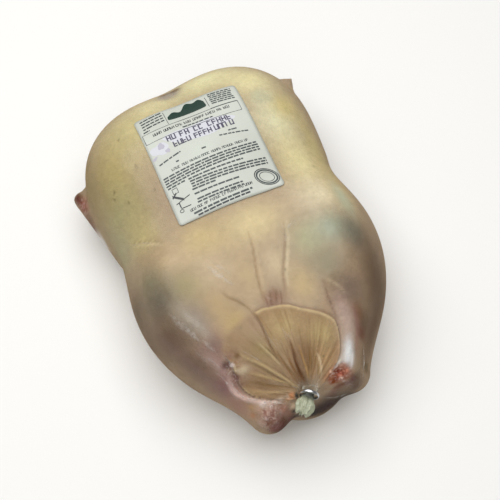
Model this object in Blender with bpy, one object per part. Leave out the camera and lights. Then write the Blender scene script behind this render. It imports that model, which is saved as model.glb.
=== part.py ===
"""Large whole duck on its back, shrink-wrapped in a clear bag, with a wire clip and a paper label.

Metres, +Z up. The bird lies breast up. Its neck end points to +Y, and its tail end, where the bag is
gathered through the clip, points to -Y. The flat of its back rests on Z = 0, and the middle of the
whole box is at X = 0, Y = 0.
"""
import math

import bmesh
import bpy
import numpy as np
from mathutils import Vector

# Lobes of the bird: centre, half axes, turn about Z in degrees, width of the blend into the rest
LOBES = {
    "breast": ((0.004, 0.073, 0.058), (0.123, 0.118, 0.069), 0.0, 0.0),
    "waist": ((0.004, -0.003, 0.050), (0.101, 0.080, 0.056), 0.0, 0.030),
    "shoulder_left": ((-0.046, 0.115, 0.059), (0.067, 0.064, 0.059), 0.0, 0.024),
    "shoulder_right": ((0.054, 0.122, 0.060), (0.072, 0.071, 0.061), 0.0, 0.024),
    "belly": ((0.004, -0.085, 0.054), (0.096, 0.090, 0.056), 0.0, 0.040),
    "tail": ((0.005, -0.143, 0.029), (0.035, 0.036, 0.026), 0.0, 0.030),
    "thigh_left": ((-0.062, -0.044, 0.060), (0.059, 0.089, 0.057), 5.0, 0.024),
    "thigh_right": ((0.070, -0.042, 0.067), (0.059, 0.089, 0.057), -5.0, 0.024),
}

# Limbs and folds: start, end, radius at the start, radius at the end, width of the blend
LIMBS = {
    "drumstick_left": ((-0.067, -0.070, 0.058), (-0.040, -0.164, 0.047), 0.038, 0.020, 0.014),
    "drumstick_right": ((0.075, -0.073, 0.058), (0.046, -0.159, 0.047), 0.038, 0.020, 0.014),
    "hock_left": ((-0.058, -0.111, 0.072), (-0.043, -0.163, 0.056), 0.018, 0.016, 0.008),
    "hock_right": ((0.050, -0.081, 0.102), (0.038, -0.158, 0.065), 0.014, 0.013, 0.009),
    "wing_left": ((-0.124, 0.118, 0.046), (-0.096, 0.043, 0.042), 0.009, 0.018, 0.014),
    "wing_right": ((0.120, 0.153, 0.061), (0.102, 0.059, 0.048), 0.009, 0.018, 0.014),
    "wing_tip_right": ((0.122, 0.153, 0.062), (0.130, 0.156, 0.066), 0.009, 0.003, 0.008),
    "gather": ((0.004, -0.121, 0.064), (0.002, -0.156, 0.078), 0.030, 0.008, 0.010),
}

# The bag's neck: where the clip grips it, and the way that its gathered tail points from there
CLIP_CENTRE = np.array((-0.0067, -0.1740, 0.0805))
CLIP_AXIS = np.array((-0.55, -0.83, 0.10)) / np.linalg.norm((-0.55, -0.83, 0.10))
NECK_RADIUS = 0.0069

# Rings of the gathered tail, from its ragged end inwards: distance past the clip, radius
TAIL_RINGS = (
    (0.0202, 0.0035),
    (0.0210, 0.0068),
    (0.0178, 0.0085),
    (0.0125, 0.0082),
    (0.0075, 0.0075),
    (0.0032, NECK_RADIUS),
    (-0.0032, NECK_RADIUS),
    (-0.0062, 0.0076),
)
TAIL_PLEATS = 7
TAIL_PLEAT_DEPTH = 0.13

# The grid of the bag's skin: it runs round the bird, and from the clip to the neck end
MERIDIANS = 100
BODY_RINGS = 45
TOP_CROWDING = 0.28
TAIL_CROWDING = 1.3
FIRST_RING = 0.17
SPINE_REACH = 0.085
SPINE_HEIGHT = (0.078, 0.056)
SEARCH_RADIUS = 0.180
SKIN_TOLERANCE = 0.00002
SEARCH_STEPS = 90
SEARCH_CAUTION = 0.8

# How softly the bag turns into its flat on the floor
FLOOR_ROUNDING = 0.005

# Creases of the skin under the film: places on them, depth, half width
CREASE_END_POWER = 0.5
CREASES = {
    "keel_left": (
        ((-0.004, 0.003, 0.118), (-0.007, -0.012, 0.116), (-0.012, -0.051, 0.113), (-0.015, -0.081, 0.111),
         (-0.016, -0.094, 0.109)), 0.0016, 0.0040),
    "keel_right": (
        ((0.040, -0.011, 0.119), (0.036, -0.032, 0.119), (0.028, -0.053, 0.116), (0.014, -0.078, 0.112),
         (0.005, -0.093, 0.110)), 0.0018, 0.0042),
    "flap_fold": (
        ((-0.045, -0.069, 0.116), (-0.033, -0.074, 0.114), (-0.023, -0.082, 0.112), (-0.018, -0.097, 0.109),
         (-0.017, -0.113, 0.106), (-0.018, -0.128, 0.102), (-0.011, -0.151, 0.090)), 0.0024, 0.0042),
    "shin_right": (
        ((0.046, -0.078, 0.117), (0.040, -0.101, 0.110), (0.034, -0.123, 0.102), (0.028, -0.143, 0.092),
         (0.022, -0.156, 0.084)), 0.0022, 0.0045),
    "shin_left": (
        ((-0.059, -0.102, 0.107), (-0.049, -0.113, 0.104), (-0.046, -0.123, 0.099), (-0.046, -0.139, 0.090),
         (-0.036, -0.151, 0.083)), 0.0022, 0.0045),
    "side_left": (
        ((-0.098, 0.028, 0.093), (-0.082, 0.017, 0.106), (-0.068, 0.002, 0.113)), 0.0012, 0.0035),
}

# The skin flaps that the bag draws into the clip: bearing from the clip in degrees, reach in metres
FAN_TILT = math.radians(26)
FLAP_EDGE = {-64: 0.025, -57: 0.044, -48: 0.056, -36: 0.072, -20: 0.084, -9: 0.085, -3: 0.089, 8: 0.088,
             15: 0.085, 24: 0.081, 34: 0.078, 43: 0.071, 52: 0.056, 57: 0.041, 62: 0.020}
FLAP_STEP_BEARING = -12
FLAP_STEP_SPAN = 6.0
FLAP_STEP = 0.0020
FLAP_STEP_FADE = 0.03
FLAP_EDGE_WIDTH = 0.006
PLEAT_COUNT = 13
PLEAT_DEPTH = 0.0011
PLEAT_WANDER = 0.3
PLEAT_START = 0.0084
PLEAT_START_SPAN = 0.014
PLEAT_FADE = 0.045

# Paper label stuck on the bag over the breast
LABEL_CENTRE = (0.002, 0.076)
LABEL_SIZE = (0.108, 0.122)
LABEL_TURN = math.radians(0.2)
LABEL_CORNER = 0.006
LABEL_CORNER_STEPS = 3
LABEL_CELLS = (12, 14)
LABEL_THICKNESS = 0.0004
LABEL_GAP = 0.00035

# Clip of flat aluminium wire, closed round the neck of the bag
CLIP_INNER_RADIUS = 0.0074
CLIP_OUTER_RADIUS = 0.0094
CLIP_WIDTH = 0.0042
CLIP_EDGE = 0.0006
CLIP_OPENING = math.radians(8)
CLIP_STEPS = 30


def ellipsoid_distance(points, centre, half_axes, turn):
    """Near distance from each point to an ellipsoid that is turned about Z."""
    offset = points - np.array(centre)
    cosine, sine = math.cos(math.radians(turn)), math.sin(math.radians(turn))
    x = offset[..., 0] * cosine + offset[..., 1] * sine
    y = offset[..., 1] * cosine - offset[..., 0] * sine
    offset = np.stack([x, y, offset[..., 2]], -1)
    axes = np.array(half_axes)
    near = np.linalg.norm(offset / axes, axis=-1)
    slope = np.linalg.norm(offset / axes**2, axis=-1)
    return near * (near - 1.0) / np.maximum(slope, 1e-9)


def limb_distance(points, start, end, start_radius, end_radius):
    """Near distance from each point to a limb that tapers evenly from start to end."""
    start, end = np.array(start), np.array(end)
    along = end - start
    share = np.clip((points - start) @ along / (along @ along), 0.0, 1.0)
    nearest = start + share[..., None] * along
    radius = start_radius + (end_radius - start_radius) * share
    return np.linalg.norm(points - nearest, axis=-1) - radius


def blended(first, second, width):
    """The smaller of two distances, rounded where they meet."""
    if width == 0.0:
        return np.minimum(first, second)
    share = np.clip(0.5 + 0.5 * (second - first) / width, 0.0, 1.0)
    return second * (1.0 - share) + first * share - width * share * (1.0 - share)


def bag_distance(points):
    """Near distance from each point to the tight bag, before the floor flattens it."""
    distance = np.full(points.shape[:-1], 1.0)
    for centre, half_axes, turn, width in LOBES.values():
        distance = blended(distance, ellipsoid_distance(points, centre, half_axes, turn), width)
    for start, end, start_radius, end_radius, width in LIMBS.values():
        limb = limb_distance(points, start, end, start_radius, end_radius)
        distance = blended(distance, limb, width)
    return distance


def march(origins, directions, reach):
    """Distance along each ray, from reach inwards, to the bag's surface."""
    lengths = np.full(origins.shape[:-1], reach)
    for _ in range(SEARCH_STEPS):
        gap = bag_distance(origins + directions * lengths[..., None])
        lengths = lengths - np.maximum(gap, 0.0) * SEARCH_CAUTION
        if gap.max() < SKIN_TOLERANCE:
            break
    return lengths


def flattened(heights):
    """Heights with all that would be under the floor laid flat on it."""
    share = np.clip(0.5 + 0.5 * heights / FLOOR_ROUNDING, 0.0, 1.0)
    return heights * share + FLOOR_ROUNDING * share * (1.0 - share)


def smooth_path(places, steps=8):
    """A smooth curve through a few places, as closely spaced points."""
    places = [Vector(place) for place in places]
    ends = [places[0] * 2 - places[1]] + places + [places[-1] * 2 - places[-2]]
    path = []
    for before, here, there, after in zip(ends, ends[1:], ends[2:], ends[3:]):
        for step in range(steps):
            t = step / steps
            bend = (2 * before - 5 * here + 4 * there - after) * t * t
            twist = (3 * here - before - 3 * there + after) * t * t * t
            path.append(here + ((there - before) * t + bend + twist) / 2)
    path.append(places[-1])
    return np.array(path)


def crease_relief(points, places, depth, half_width):
    """Depth of one crease at each point: full at its middle, and none at its two ends."""
    path = smooth_path(places)
    gaps = np.linalg.norm(points[..., None, :] - path, axis=-1)
    along = gaps.argmin(-1) / (len(path) - 1)
    return -depth * np.sin(math.pi * along)**CREASE_END_POWER * np.exp(-(gaps.min(-1) / half_width)**2)


def smooth_step(values):
    """0 below 0, 1 above 1, and a smooth climb between."""
    t = np.clip(values, 0.0, 1.0)
    return t * t * (3.0 - 2.0 * t)


def fan_relief(points):
    """Height of the drawn-in skin flaps: a step at their edge, and pleats that run to the clip."""
    offset = points - CLIP_CENTRE
    uphill = offset[..., 1] * math.cos(FAN_TILT) + offset[..., 2] * math.sin(FAN_TILT)
    bearing = np.degrees(np.arctan2(offset[..., 0], uphill))
    reach = np.linalg.norm(offset, axis=-1)
    edge = np.interp(bearing, list(FLAP_EDGE), list(FLAP_EDGE.values()), left=0.0, right=0.0)
    inside = smooth_step((edge - reach) / FLAP_EDGE_WIDTH + 0.5)
    stands_proud = smooth_step((bearing - FLAP_STEP_BEARING) / FLAP_STEP_SPAN)
    step = FLAP_STEP * stands_proud * inside * np.exp(-np.maximum(edge - reach, 0.0) / FLAP_STEP_FADE)
    first, last = min(FLAP_EDGE), max(FLAP_EDGE)
    turn = (bearing - first) / (last - first) * PLEAT_COUNT
    pleats = np.cos(2 * math.pi * (turn + PLEAT_WANDER * np.sin(turn)))
    window = smooth_step((reach - PLEAT_START) / PLEAT_START_SPAN) * smooth_step((edge - reach) / PLEAT_FADE)
    return step + PLEAT_DEPTH * pleats * window


def relief(points):
    """Height of all folds of the skin above the plain lobes, at each point."""
    height = fan_relief(points)
    for places, depth, half_width in CREASES.values():
        height = height + crease_relief(points, places, depth, half_width)
    return height


def body_rings(angles):
    """Rings of points on the bag, from beside the clip to the neck end."""
    share = np.arange(BODY_RINGS + 1) / BODY_RINGS
    polar = (FIRST_RING + (math.pi - FIRST_RING) * share**TAIL_CROWDING)[:, None]
    side = np.sin(polar) * np.sin(angles)
    up = np.sin(polar) * np.cos(angles)
    back = -np.cos(polar) * np.ones_like(angles)
    directions = np.stack([side, back, up], -1)
    middle, swing = sum(SPINE_HEIGHT) / 2, (SPINE_HEIGHT[0] - SPINE_HEIGHT[1]) / 2
    origins = np.stack([0.0 * back, SPINE_REACH * back, middle - swing * back], -1)
    lengths = march(origins, directions, SEARCH_RADIUS)
    skin = origins + directions * lengths[..., None]
    skin = skin + directions * relief(skin)[..., None]
    skin[..., 2] = flattened(skin[..., 2])
    return skin


def tail_rings(angles):
    """Rings of points round the bag's gathered tail, from its ragged end to behind the clip."""
    up = np.array((0.0, 0.0, 1.0)) - CLIP_AXIS * CLIP_AXIS[2]
    up /= np.linalg.norm(up)
    side = np.cross(up, CLIP_AXIS)
    rings = []
    for distance, radius in TAIL_RINGS:
        pleat_depth = TAIL_PLEAT_DEPTH if distance > CLIP_WIDTH else 0.0
        radii = radius * (1.0 + pleat_depth * np.cos(TAIL_PLEATS * angles))
        around = side * np.sin(angles)[:, None] + up * np.cos(angles)[:, None]
        rings.append(CLIP_CENTRE + CLIP_AXIS * distance + around * radii[:, None])
    return np.array(rings)


def material(name, colour, roughness, metallic=0.0, alpha=1.0):
    """One Principled material."""
    made = bpy.data.materials.new(name)
    made.use_nodes = True
    shader = made.node_tree.nodes["Principled BSDF"]
    shader.inputs["Base Color"].default_value = (*colour, 1.0)
    shader.inputs["Roughness"].default_value = roughness
    shader.inputs["Metallic"].default_value = metallic
    shader.inputs["Alpha"].default_value = alpha
    made.diffuse_color = (*colour, alpha)
    return made


def finish(name, mesh_data, made):
    """Turn bmesh data into a named object with its material."""
    bmesh.ops.recalc_face_normals(mesh_data, faces=mesh_data.faces)
    if mesh_data.calc_volume(signed=True) < 0.0:
        bmesh.ops.reverse_faces(mesh_data, faces=mesh_data.faces)
    mesh = bpy.data.meshes.new(name)
    mesh_data.to_mesh(mesh)
    mesh_data.free()
    mesh.materials.append(made)
    mesh.shade_smooth()
    piece = bpy.data.objects.new(name, mesh)
    bpy.context.collection.objects.link(piece)
    return piece


def make_bagged_duck():
    """The duck in its tight bag: a sphere drawn out into tail, neck and body, ring by ring."""
    even = 2 * math.pi * np.arange(MERIDIANS) / MERIDIANS
    angles = even - TOP_CROWDING * np.sin(even)
    rings = np.concatenate([tail_rings(angles), body_rings(angles)])
    tip = CLIP_CENTRE + CLIP_AXIS * TAIL_RINGS[0][0]
    data = bmesh.new()
    bmesh.ops.create_uvsphere(data, u_segments=MERIDIANS, v_segments=len(rings), radius=1.0)
    for vertex in data.verts:
        ring = round(math.acos(max(-1.0, min(1.0, vertex.co.z))) / math.pi * len(rings))
        if ring == 0:
            vertex.co = tip
        elif ring == len(rings):
            vertex.co = rings[-1].mean(0)
        else:
            meridian = round(math.atan2(vertex.co.y, vertex.co.x) / (2 * math.pi) * MERIDIANS)
            vertex.co = rings[ring - 1][meridian % MERIDIANS]
    return finish("bagged_duck", data, material("wrapped_duck", (0.55, 0.44, 0.27), 0.3))


def surface_normals(points):
    """The way out of the bag at each point."""
    nudge = 0.0005
    steps = nudge * np.eye(3)
    slopes = np.stack([bag_distance(points + step) - bag_distance(points - step) for step in steps], -1)
    return slopes / np.linalg.norm(slopes, axis=-1, keepdims=True)


def drape(plan):
    """Points of the bag's top above or below each plan point."""
    origins = np.column_stack([plan, np.zeros(len(plan))])
    down = np.tile((0.0, 0.0, 1.0), (len(plan), 1))
    return origins + down * march(origins, down, SEARCH_RADIUS)[:, None]


def make_label():
    """The paper label: a rounded sheet laid over the bag."""
    width, length = LABEL_SIZE
    data = bmesh.new()
    bmesh.ops.create_grid(data, x_segments=LABEL_CELLS[0], y_segments=LABEL_CELLS[1], size=0.5)
    corners = [vertex for vertex in data.verts if min(abs(vertex.co.x), abs(vertex.co.y)) > 0.499]
    bmesh.ops.scale(data, vec=(width, length, 1.0), verts=data.verts)
    bmesh.ops.bevel(
        data, geom=corners, offset=LABEL_CORNER, segments=LABEL_CORNER_STEPS, profile=0.5, affect="VERTICES")
    cosine, sine = math.cos(LABEL_TURN), math.sin(LABEL_TURN)
    turned = np.array([v.co[:2] for v in data.verts]) @ np.array(((cosine, sine), (-sine, cosine)))
    plan = turned + np.array(LABEL_CENTRE)
    skin = drape(plan)
    normals = surface_normals(skin)
    for vertex, place, normal in zip(data.verts, skin, normals):
        vertex.co = place + normal * LABEL_GAP
    upward = {tuple(v.co): n for v, n in zip(data.verts, normals)}
    top = bmesh.ops.extrude_face_region(data, geom=list(data.faces))
    for vertex in [item for item in top["geom"] if isinstance(item, bmesh.types.BMVert)]:
        vertex.co += Vector(upward[tuple(vertex.co)]) * LABEL_THICKNESS
    return finish("label", data, material("label_paper", (0.78, 0.79, 0.74), 0.5))


def make_clip():
    """The wire clip: a flat band spun round the neck of the bag, open by a hair at its ends."""
    up = Vector((0.0, 0.0, 1.0)).cross(Vector(CLIP_AXIS)).normalized()
    half_width = CLIP_WIDTH / 2
    low, high = CLIP_INNER_RADIUS, CLIP_OUTER_RADIUS
    outline = (
        (low, CLIP_EDGE - half_width), (low + CLIP_EDGE, -half_width),
        (high - CLIP_EDGE, -half_width), (high, CLIP_EDGE - half_width),
        (high, half_width - CLIP_EDGE), (high - CLIP_EDGE, half_width),
        (low + CLIP_EDGE, half_width), (low, half_width - CLIP_EDGE),
    )
    centre, axis = Vector(CLIP_CENTRE), Vector(CLIP_AXIS)
    data = bmesh.new()
    ring = [data.verts.new(centre + up * radius + axis * across) for radius, across in outline]
    face = data.faces.new(ring)
    bmesh.ops.spin(
        data, geom=[face], cent=centre, axis=axis, angle=2 * math.pi - CLIP_OPENING, steps=CLIP_STEPS)
    return finish("clip", data, material("clip_aluminium", (0.72, 0.73, 0.74), 0.25, metallic=1.0))


for old in list(bpy.data.objects):
    bpy.data.objects.remove(old, do_unlink=True)

make_bagged_duck()
make_label()
make_clip()
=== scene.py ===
"""Looks of a large raw whole duck, shrink-wrapped in clear film, with a paper label and a wire clip.

The bird's skin, the film round it and the film's gathered tail replace the CAD solid of the bagged bird.
The label and the clip replace their own solids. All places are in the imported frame, in metres, +Z up; the
tables of marks give them in millimetres. The clipped tail end points to -Y and the neck end to +Y.
"""
import logging
import math
from dataclasses import dataclass, field
from enum import Enum
from typing import Any

import bpy
import numpy as np
from mathutils import Matrix, Vector, noise

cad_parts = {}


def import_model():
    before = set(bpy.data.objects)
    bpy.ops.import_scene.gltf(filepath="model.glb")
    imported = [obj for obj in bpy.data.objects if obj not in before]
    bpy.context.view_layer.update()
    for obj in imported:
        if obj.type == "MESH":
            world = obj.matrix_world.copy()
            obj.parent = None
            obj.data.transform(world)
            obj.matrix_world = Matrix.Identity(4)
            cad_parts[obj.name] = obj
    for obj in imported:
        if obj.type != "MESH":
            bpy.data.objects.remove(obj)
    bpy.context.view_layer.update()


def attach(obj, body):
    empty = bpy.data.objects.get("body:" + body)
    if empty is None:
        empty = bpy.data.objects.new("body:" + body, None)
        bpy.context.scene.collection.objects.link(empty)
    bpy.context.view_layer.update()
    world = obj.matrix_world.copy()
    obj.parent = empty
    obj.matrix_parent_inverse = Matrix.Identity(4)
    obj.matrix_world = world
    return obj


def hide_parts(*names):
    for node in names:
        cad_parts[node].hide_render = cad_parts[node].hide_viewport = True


LOG = logging.getLogger("wrapped_duck")
MM = 0.001
BODY = "root"
TINT = "tint"
# The cloud attribute: the film's milky haze; on the crease strips also their painted highlight, and on the
# gathered tail the painted shade at its root.
HAZE_AND_PAINTED_LIGHT = "cloud"
RAW = "raw"

Place = tuple[float, float, float]
Plan = tuple[float, float]


def smooth_step(values: np.ndarray) -> np.ndarray:
    """Climb smoothly from 0 below 0 to 1 above 1.

    Args:
        values: Any numbers.

    Returns:
        The climb at each number.
    """
    t = np.clip(values, 0.0, 1.0)
    return t * t * (3.0 - 2.0 * t)


def linear(colour: str) -> tuple[float, float, float]:
    """Turn an sRGB hex colour into linear light.

    Args:
        colour: Six hex digits, with or without a leading mark.

    Returns:
        Red, green and blue from 0 to 1.
    """
    digits = colour.lstrip("#")
    parts = [int(digits[i:i + 2], 16) / 255.0 for i in (0, 2, 4)]
    return tuple(p / 12.92 if p <= 0.04045 else ((p + 0.055) / 1.055) ** 2.4 for p in parts)


def laid_over(colours: np.ndarray, colour: str, cover: np.ndarray) -> np.ndarray:
    """Lay one colour over others.

    Args:
        colours: Linear colours, one a point.
        colour: The colour laid over, as sRGB hex.
        cover: How much of it each point takes.

    Returns:
        The mixed colours.
    """
    return colours + (np.array(linear(colour)) - colours) * cover[:, None]


def smooth_path(places: np.ndarray, steps: int = 8) -> np.ndarray:
    """Run a smooth curve through a few places.

    Args:
        places: The places in order, one a row.
        steps: Points for each stretch between two places.

    Returns:
        Closely spaced points on the curve.
    """
    ends = np.vstack([2 * places[0] - places[1], places, 2 * places[-1] - places[-2]])
    t = (np.arange(steps) / steps)[:, None]
    path = []
    for before, here, there, after in zip(ends, ends[1:], ends[2:], ends[3:]):
        bend = (2 * before - 5 * here + 4 * there - after) * t**2
        twist = (3 * here - before - 3 * there + after) * t**3
        path.append(here + ((there - before) * t + bend + twist) / 2)
    return np.vstack([*path, places[-1]])


# The bird's form


@dataclass(frozen=True)
class Lobe:
    """A rounded mass of the bird: an ellipsoid, turned about Z, that blends into the rest."""

    centre: Place
    half_axes: Place
    turn: float
    blend: float

    def distance(self, points: np.ndarray) -> np.ndarray:
        """Give the near distance from each point to the lobe's skin.

        Args:
            points: Places, one a row.

        Returns:
            Distances, negative inside.
        """
        offset = points - np.array(self.centre)
        cosine, sine = math.cos(math.radians(self.turn)), math.sin(math.radians(self.turn))
        x = offset[..., 0] * cosine + offset[..., 1] * sine
        y = offset[..., 1] * cosine - offset[..., 0] * sine
        offset = np.stack([x, y, offset[..., 2]], -1)
        axes = np.array(self.half_axes)
        near = np.linalg.norm(offset / axes, axis=-1)
        slope = np.linalg.norm(offset / axes**2, axis=-1)
        return near * (near - 1.0) / np.maximum(slope, 1e-9)


@dataclass(frozen=True)
class Limb:
    """A limb or a drawn fold of the bird: a rod with round ends that tapers evenly."""

    start: Place
    end: Place
    start_radius: float
    end_radius: float
    blend: float

    def distance(self, points: np.ndarray) -> np.ndarray:
        """Give the near distance from each point to the limb's skin.

        Args:
            points: Places, one a row.

        Returns:
            Distances, negative inside.
        """
        start, along = np.array(self.start), np.array(self.end) - np.array(self.start)
        share = np.clip((points - start) @ along / (along @ along), 0.0, 1.0)
        radius = self.start_radius + (self.end_radius - self.start_radius) * share
        return np.linalg.norm(points - start - share[..., None] * along, axis=-1) - radius


LOBES = {
    "breast": Lobe((0.004, 0.073, 0.058), (0.123, 0.118, 0.069), 0.0, 0.0),
    "waist": Lobe((0.004, -0.003, 0.050), (0.101, 0.080, 0.056), 0.0, 0.030),
    "shoulder_left": Lobe((-0.046, 0.115, 0.059), (0.067, 0.064, 0.059), 0.0, 0.024),
    "shoulder_right": Lobe((0.054, 0.122, 0.060), (0.072, 0.071, 0.061), 0.0, 0.024),
    "belly": Lobe((0.004, -0.085, 0.054), (0.096, 0.090, 0.056), 0.0, 0.040),
    "tail": Lobe((0.005, -0.143, 0.029), (0.035, 0.036, 0.026), 0.0, 0.030),
    "thigh_left": Lobe((-0.062, -0.044, 0.060), (0.059, 0.089, 0.057), 5.0, 0.024),
    "thigh_right": Lobe((0.070, -0.042, 0.067), (0.059, 0.089, 0.057), -5.0, 0.024),
}

LIMBS = {
    "drumstick_left": Limb((-0.067, -0.070, 0.058), (-0.040, -0.164, 0.047), 0.038, 0.020, 0.014),
    "drumstick_right": Limb((0.075, -0.073, 0.058), (0.046, -0.159, 0.047), 0.038, 0.020, 0.014),
    "hock_left": Limb((-0.058, -0.111, 0.072), (-0.043, -0.163, 0.056), 0.018, 0.016, 0.008),
    "hock_right": Limb((0.050, -0.081, 0.102), (0.038, -0.158, 0.065), 0.014, 0.013, 0.009),
    "wing_left": Limb((-0.124, 0.118, 0.046), (-0.096, 0.043, 0.042), 0.009, 0.018, 0.014),
    "wing_right": Limb((0.120, 0.153, 0.061), (0.102, 0.059, 0.048), 0.009, 0.018, 0.014),
    "wing_tip_right": Limb((0.122, 0.153, 0.062), (0.130, 0.156, 0.066), 0.009, 0.003, 0.008),
    "gather": Limb((0.004, -0.121, 0.064), (0.002, -0.156, 0.078), 0.030, 0.008, 0.010),
}


@dataclass(frozen=True)
class BirdForm:
    """The bird's plain form, with how far it lies inside the film and how tight its folds are."""

    inset: float = 0.0
    limb_blend_share: float = 1.0
    floor_rounding: float = 0.005
    search_steps: int = 90
    search_caution: float = 0.8
    tolerance: float = 0.00002

    def distance(self, points: np.ndarray) -> np.ndarray:
        """Give the near distance from each point to the form, before the floor flattens it.

        Args:
            points: Places, one a row.

        Returns:
            Distances, negative inside.
        """
        distance = np.full(points.shape[:-1], 1.0)
        for lobe in LOBES.values():
            distance = self.blended(distance, lobe.distance(points), lobe.blend)
        for limb in LIMBS.values():
            distance = self.blended(distance, limb.distance(points), limb.blend * self.limb_blend_share)
        return distance + self.inset

    def blended(self, first: np.ndarray, second: np.ndarray, width: float) -> np.ndarray:
        """Join two distances, rounded over a width where they meet.

        Args:
            first: Distances to one form.
            second: Distances to the other.
            width: Width of the rounding, or 0 for none.

        Returns:
            Distances to both together.
        """
        if width == 0.0:
            return np.minimum(first, second)
        share = np.clip(0.5 + 0.5 * (second - first) / width, 0.0, 1.0)
        return second * (1.0 - share) + first * share - width * share * (1.0 - share)

    def reach(self, origins: np.ndarray, directions: np.ndarray, far: float) -> np.ndarray:
        """Close in on the form along rays, from outside.

        Args:
            origins: Where each ray starts, inside the form.
            directions: The way of each ray.
            far: Length at which the search starts.

        Returns:
            The length of each ray at the form.
        """
        starts, ways = origins.reshape(-1, 3), directions.reshape(-1, 3)
        lengths = np.full(len(starts), far)
        moving = np.arange(len(starts))
        for _ in range(self.search_steps):
            gap = self.distance(starts[moving] + ways[moving] * lengths[moving][:, None])
            lengths[moving] -= np.maximum(gap, 0.0) * self.search_caution
            moving = moving[gap > self.tolerance]
            if not len(moving):
                break
        return lengths.reshape(origins.shape[:-1])

    def normals(self, points: np.ndarray) -> np.ndarray:
        """Give the way out of the form at each point.

        Args:
            points: Places near the form.

        Returns:
            Unit vectors.
        """
        steps = 0.0005 * np.eye(3)
        slopes = np.stack([self.distance(points + s) - self.distance(points - s) for s in steps], -1)
        return slopes / np.linalg.norm(slopes, axis=-1, keepdims=True)

    def drape(self, plan: np.ndarray) -> np.ndarray:
        """Find the top of the form above each place of a plan.

        Args:
            plan: X and Y of each place.

        Returns:
            Places on the form.
        """
        origins = np.column_stack([plan, np.zeros(len(plan))])
        upward = np.tile((0.0, 0.0, 1.0), (len(plan), 1))
        return origins + upward * self.reach(origins, upward, 0.18)[:, None]

    def flattened(self, points: np.ndarray) -> np.ndarray:
        """Lay flat on the floor all that would be under it.

        Args:
            points: Places on the form.

        Returns:
            The places, none of them under the floor.
        """
        share = np.clip(0.5 + 0.5 * points[..., 2] / self.floor_rounding, 0.0, 1.0)
        heights = points[..., 2] * share + self.floor_rounding * share * (1.0 - share)
        return np.concatenate([points[..., :2], heights[..., None]], -1)


@dataclass(frozen=True)
class StarGrid:
    """Rays that fan out from a spine in the bird: round it, and from the tail end to the neck end."""

    meridians: int
    rings: int
    first_polar: float = 0.0
    top_crowding: float = 0.28
    tail_crowding: float = 1.3
    spine_reach: float = 0.085
    spine_height: tuple[float, float] = (0.078, 0.056)

    def angles(self) -> np.ndarray:
        """Give the angle of each meridian from straight up, closer together at the top."""
        even = 2 * math.pi * np.arange(self.meridians) / self.meridians
        return even - self.top_crowding * np.sin(even)

    def rays(self) -> tuple[np.ndarray, np.ndarray]:
        """Give every ray, ring by ring.

        Returns:
            The rays' origins and their directions.
        """
        share = np.arange(self.rings + 1) / self.rings
        polar = (self.first_polar + (math.pi - self.first_polar) * share**self.tail_crowding)[:, None]
        angles = self.angles()
        back = -np.cos(polar) * np.ones_like(angles)
        directions = np.stack([np.sin(polar) * np.sin(angles), back, np.sin(polar) * np.cos(angles)], -1)
        middle = sum(self.spine_height) / 2
        swing = (self.spine_height[0] - self.spine_height[1]) / 2
        origins = np.stack([0.0 * back, self.spine_reach * back, middle - swing * back], -1)
        return origins, directions

    def surface(self, form: BirdForm) -> np.ndarray:
        """Find where every ray leaves a form.

        Args:
            form: The form.

        Returns:
            Places, as rings of meridians.
        """
        origins, directions = self.rays()
        return origins + directions * form.reach(origins, directions, 0.18)[..., None]


# Marks on the skin


@dataclass(frozen=True)
class Patch:
    """A soft-edged area of the skin with its own colour, and perhaps its own height; some of them are painted
    shade, and a few a painted highlight.
    """

    colour: str
    centre: Place
    radii: Place
    strength: float = 0.8
    sharpness: float = 1.0
    height: float = 0.0

    def cover(self, points: np.ndarray) -> np.ndarray:
        """Give how much of the patch each point has.

        Args:
            points: Places on the skin, in metres.

        Returns:
            Cover from 0 to 1.
        """
        away = (points - np.array(self.centre) * MM) / (np.array(self.radii) * MM)
        return np.exp(-np.sum(away**2, -1) ** self.sharpness)


@dataclass(frozen=True)
class Streak:
    """A crease, ridge or stain that follows a line over the top of the bird; dark creases carry painted shade
    and pale ridges a painted highlight.
    """

    colour: str
    path: tuple[Plan, ...]
    half_widths: tuple[float, float]
    height: float
    strength: float = 0.7
    spread: float = 1.2
    end_power: float = 0.5

    def reading(self, points: np.ndarray, form: BirdForm) -> tuple[np.ndarray, np.ndarray]:
        """Find how far each point is from the line, in half widths, and how strong the line is there.

        Args:
            points: Places on the skin, in metres.
            form: The form that the line lies on.

        Returns:
            Gaps in half widths, and strengths from 0 at the line's ends to 1.
        """
        line = smooth_path(form.drape(np.array(self.path) * MM))
        gaps = np.full(len(points), 1.0)
        along = np.zeros(len(points))
        start, end = self.half_widths
        margin = 4.0 * max(start, end) * MM
        near = np.all((points > line.min(0) - margin) & (points < line.max(0) + margin), axis=1)
        away = np.linalg.norm(points[near][:, None] - line, axis=-1)
        gaps[near], along[near] = away.min(1), away.argmin(1) / (len(line) - 1)
        half_width = (start + (end - start) * along) * MM
        return gaps / half_width, np.sin(math.pi * np.clip(along, 0.02, 0.98)) ** self.end_power


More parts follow.
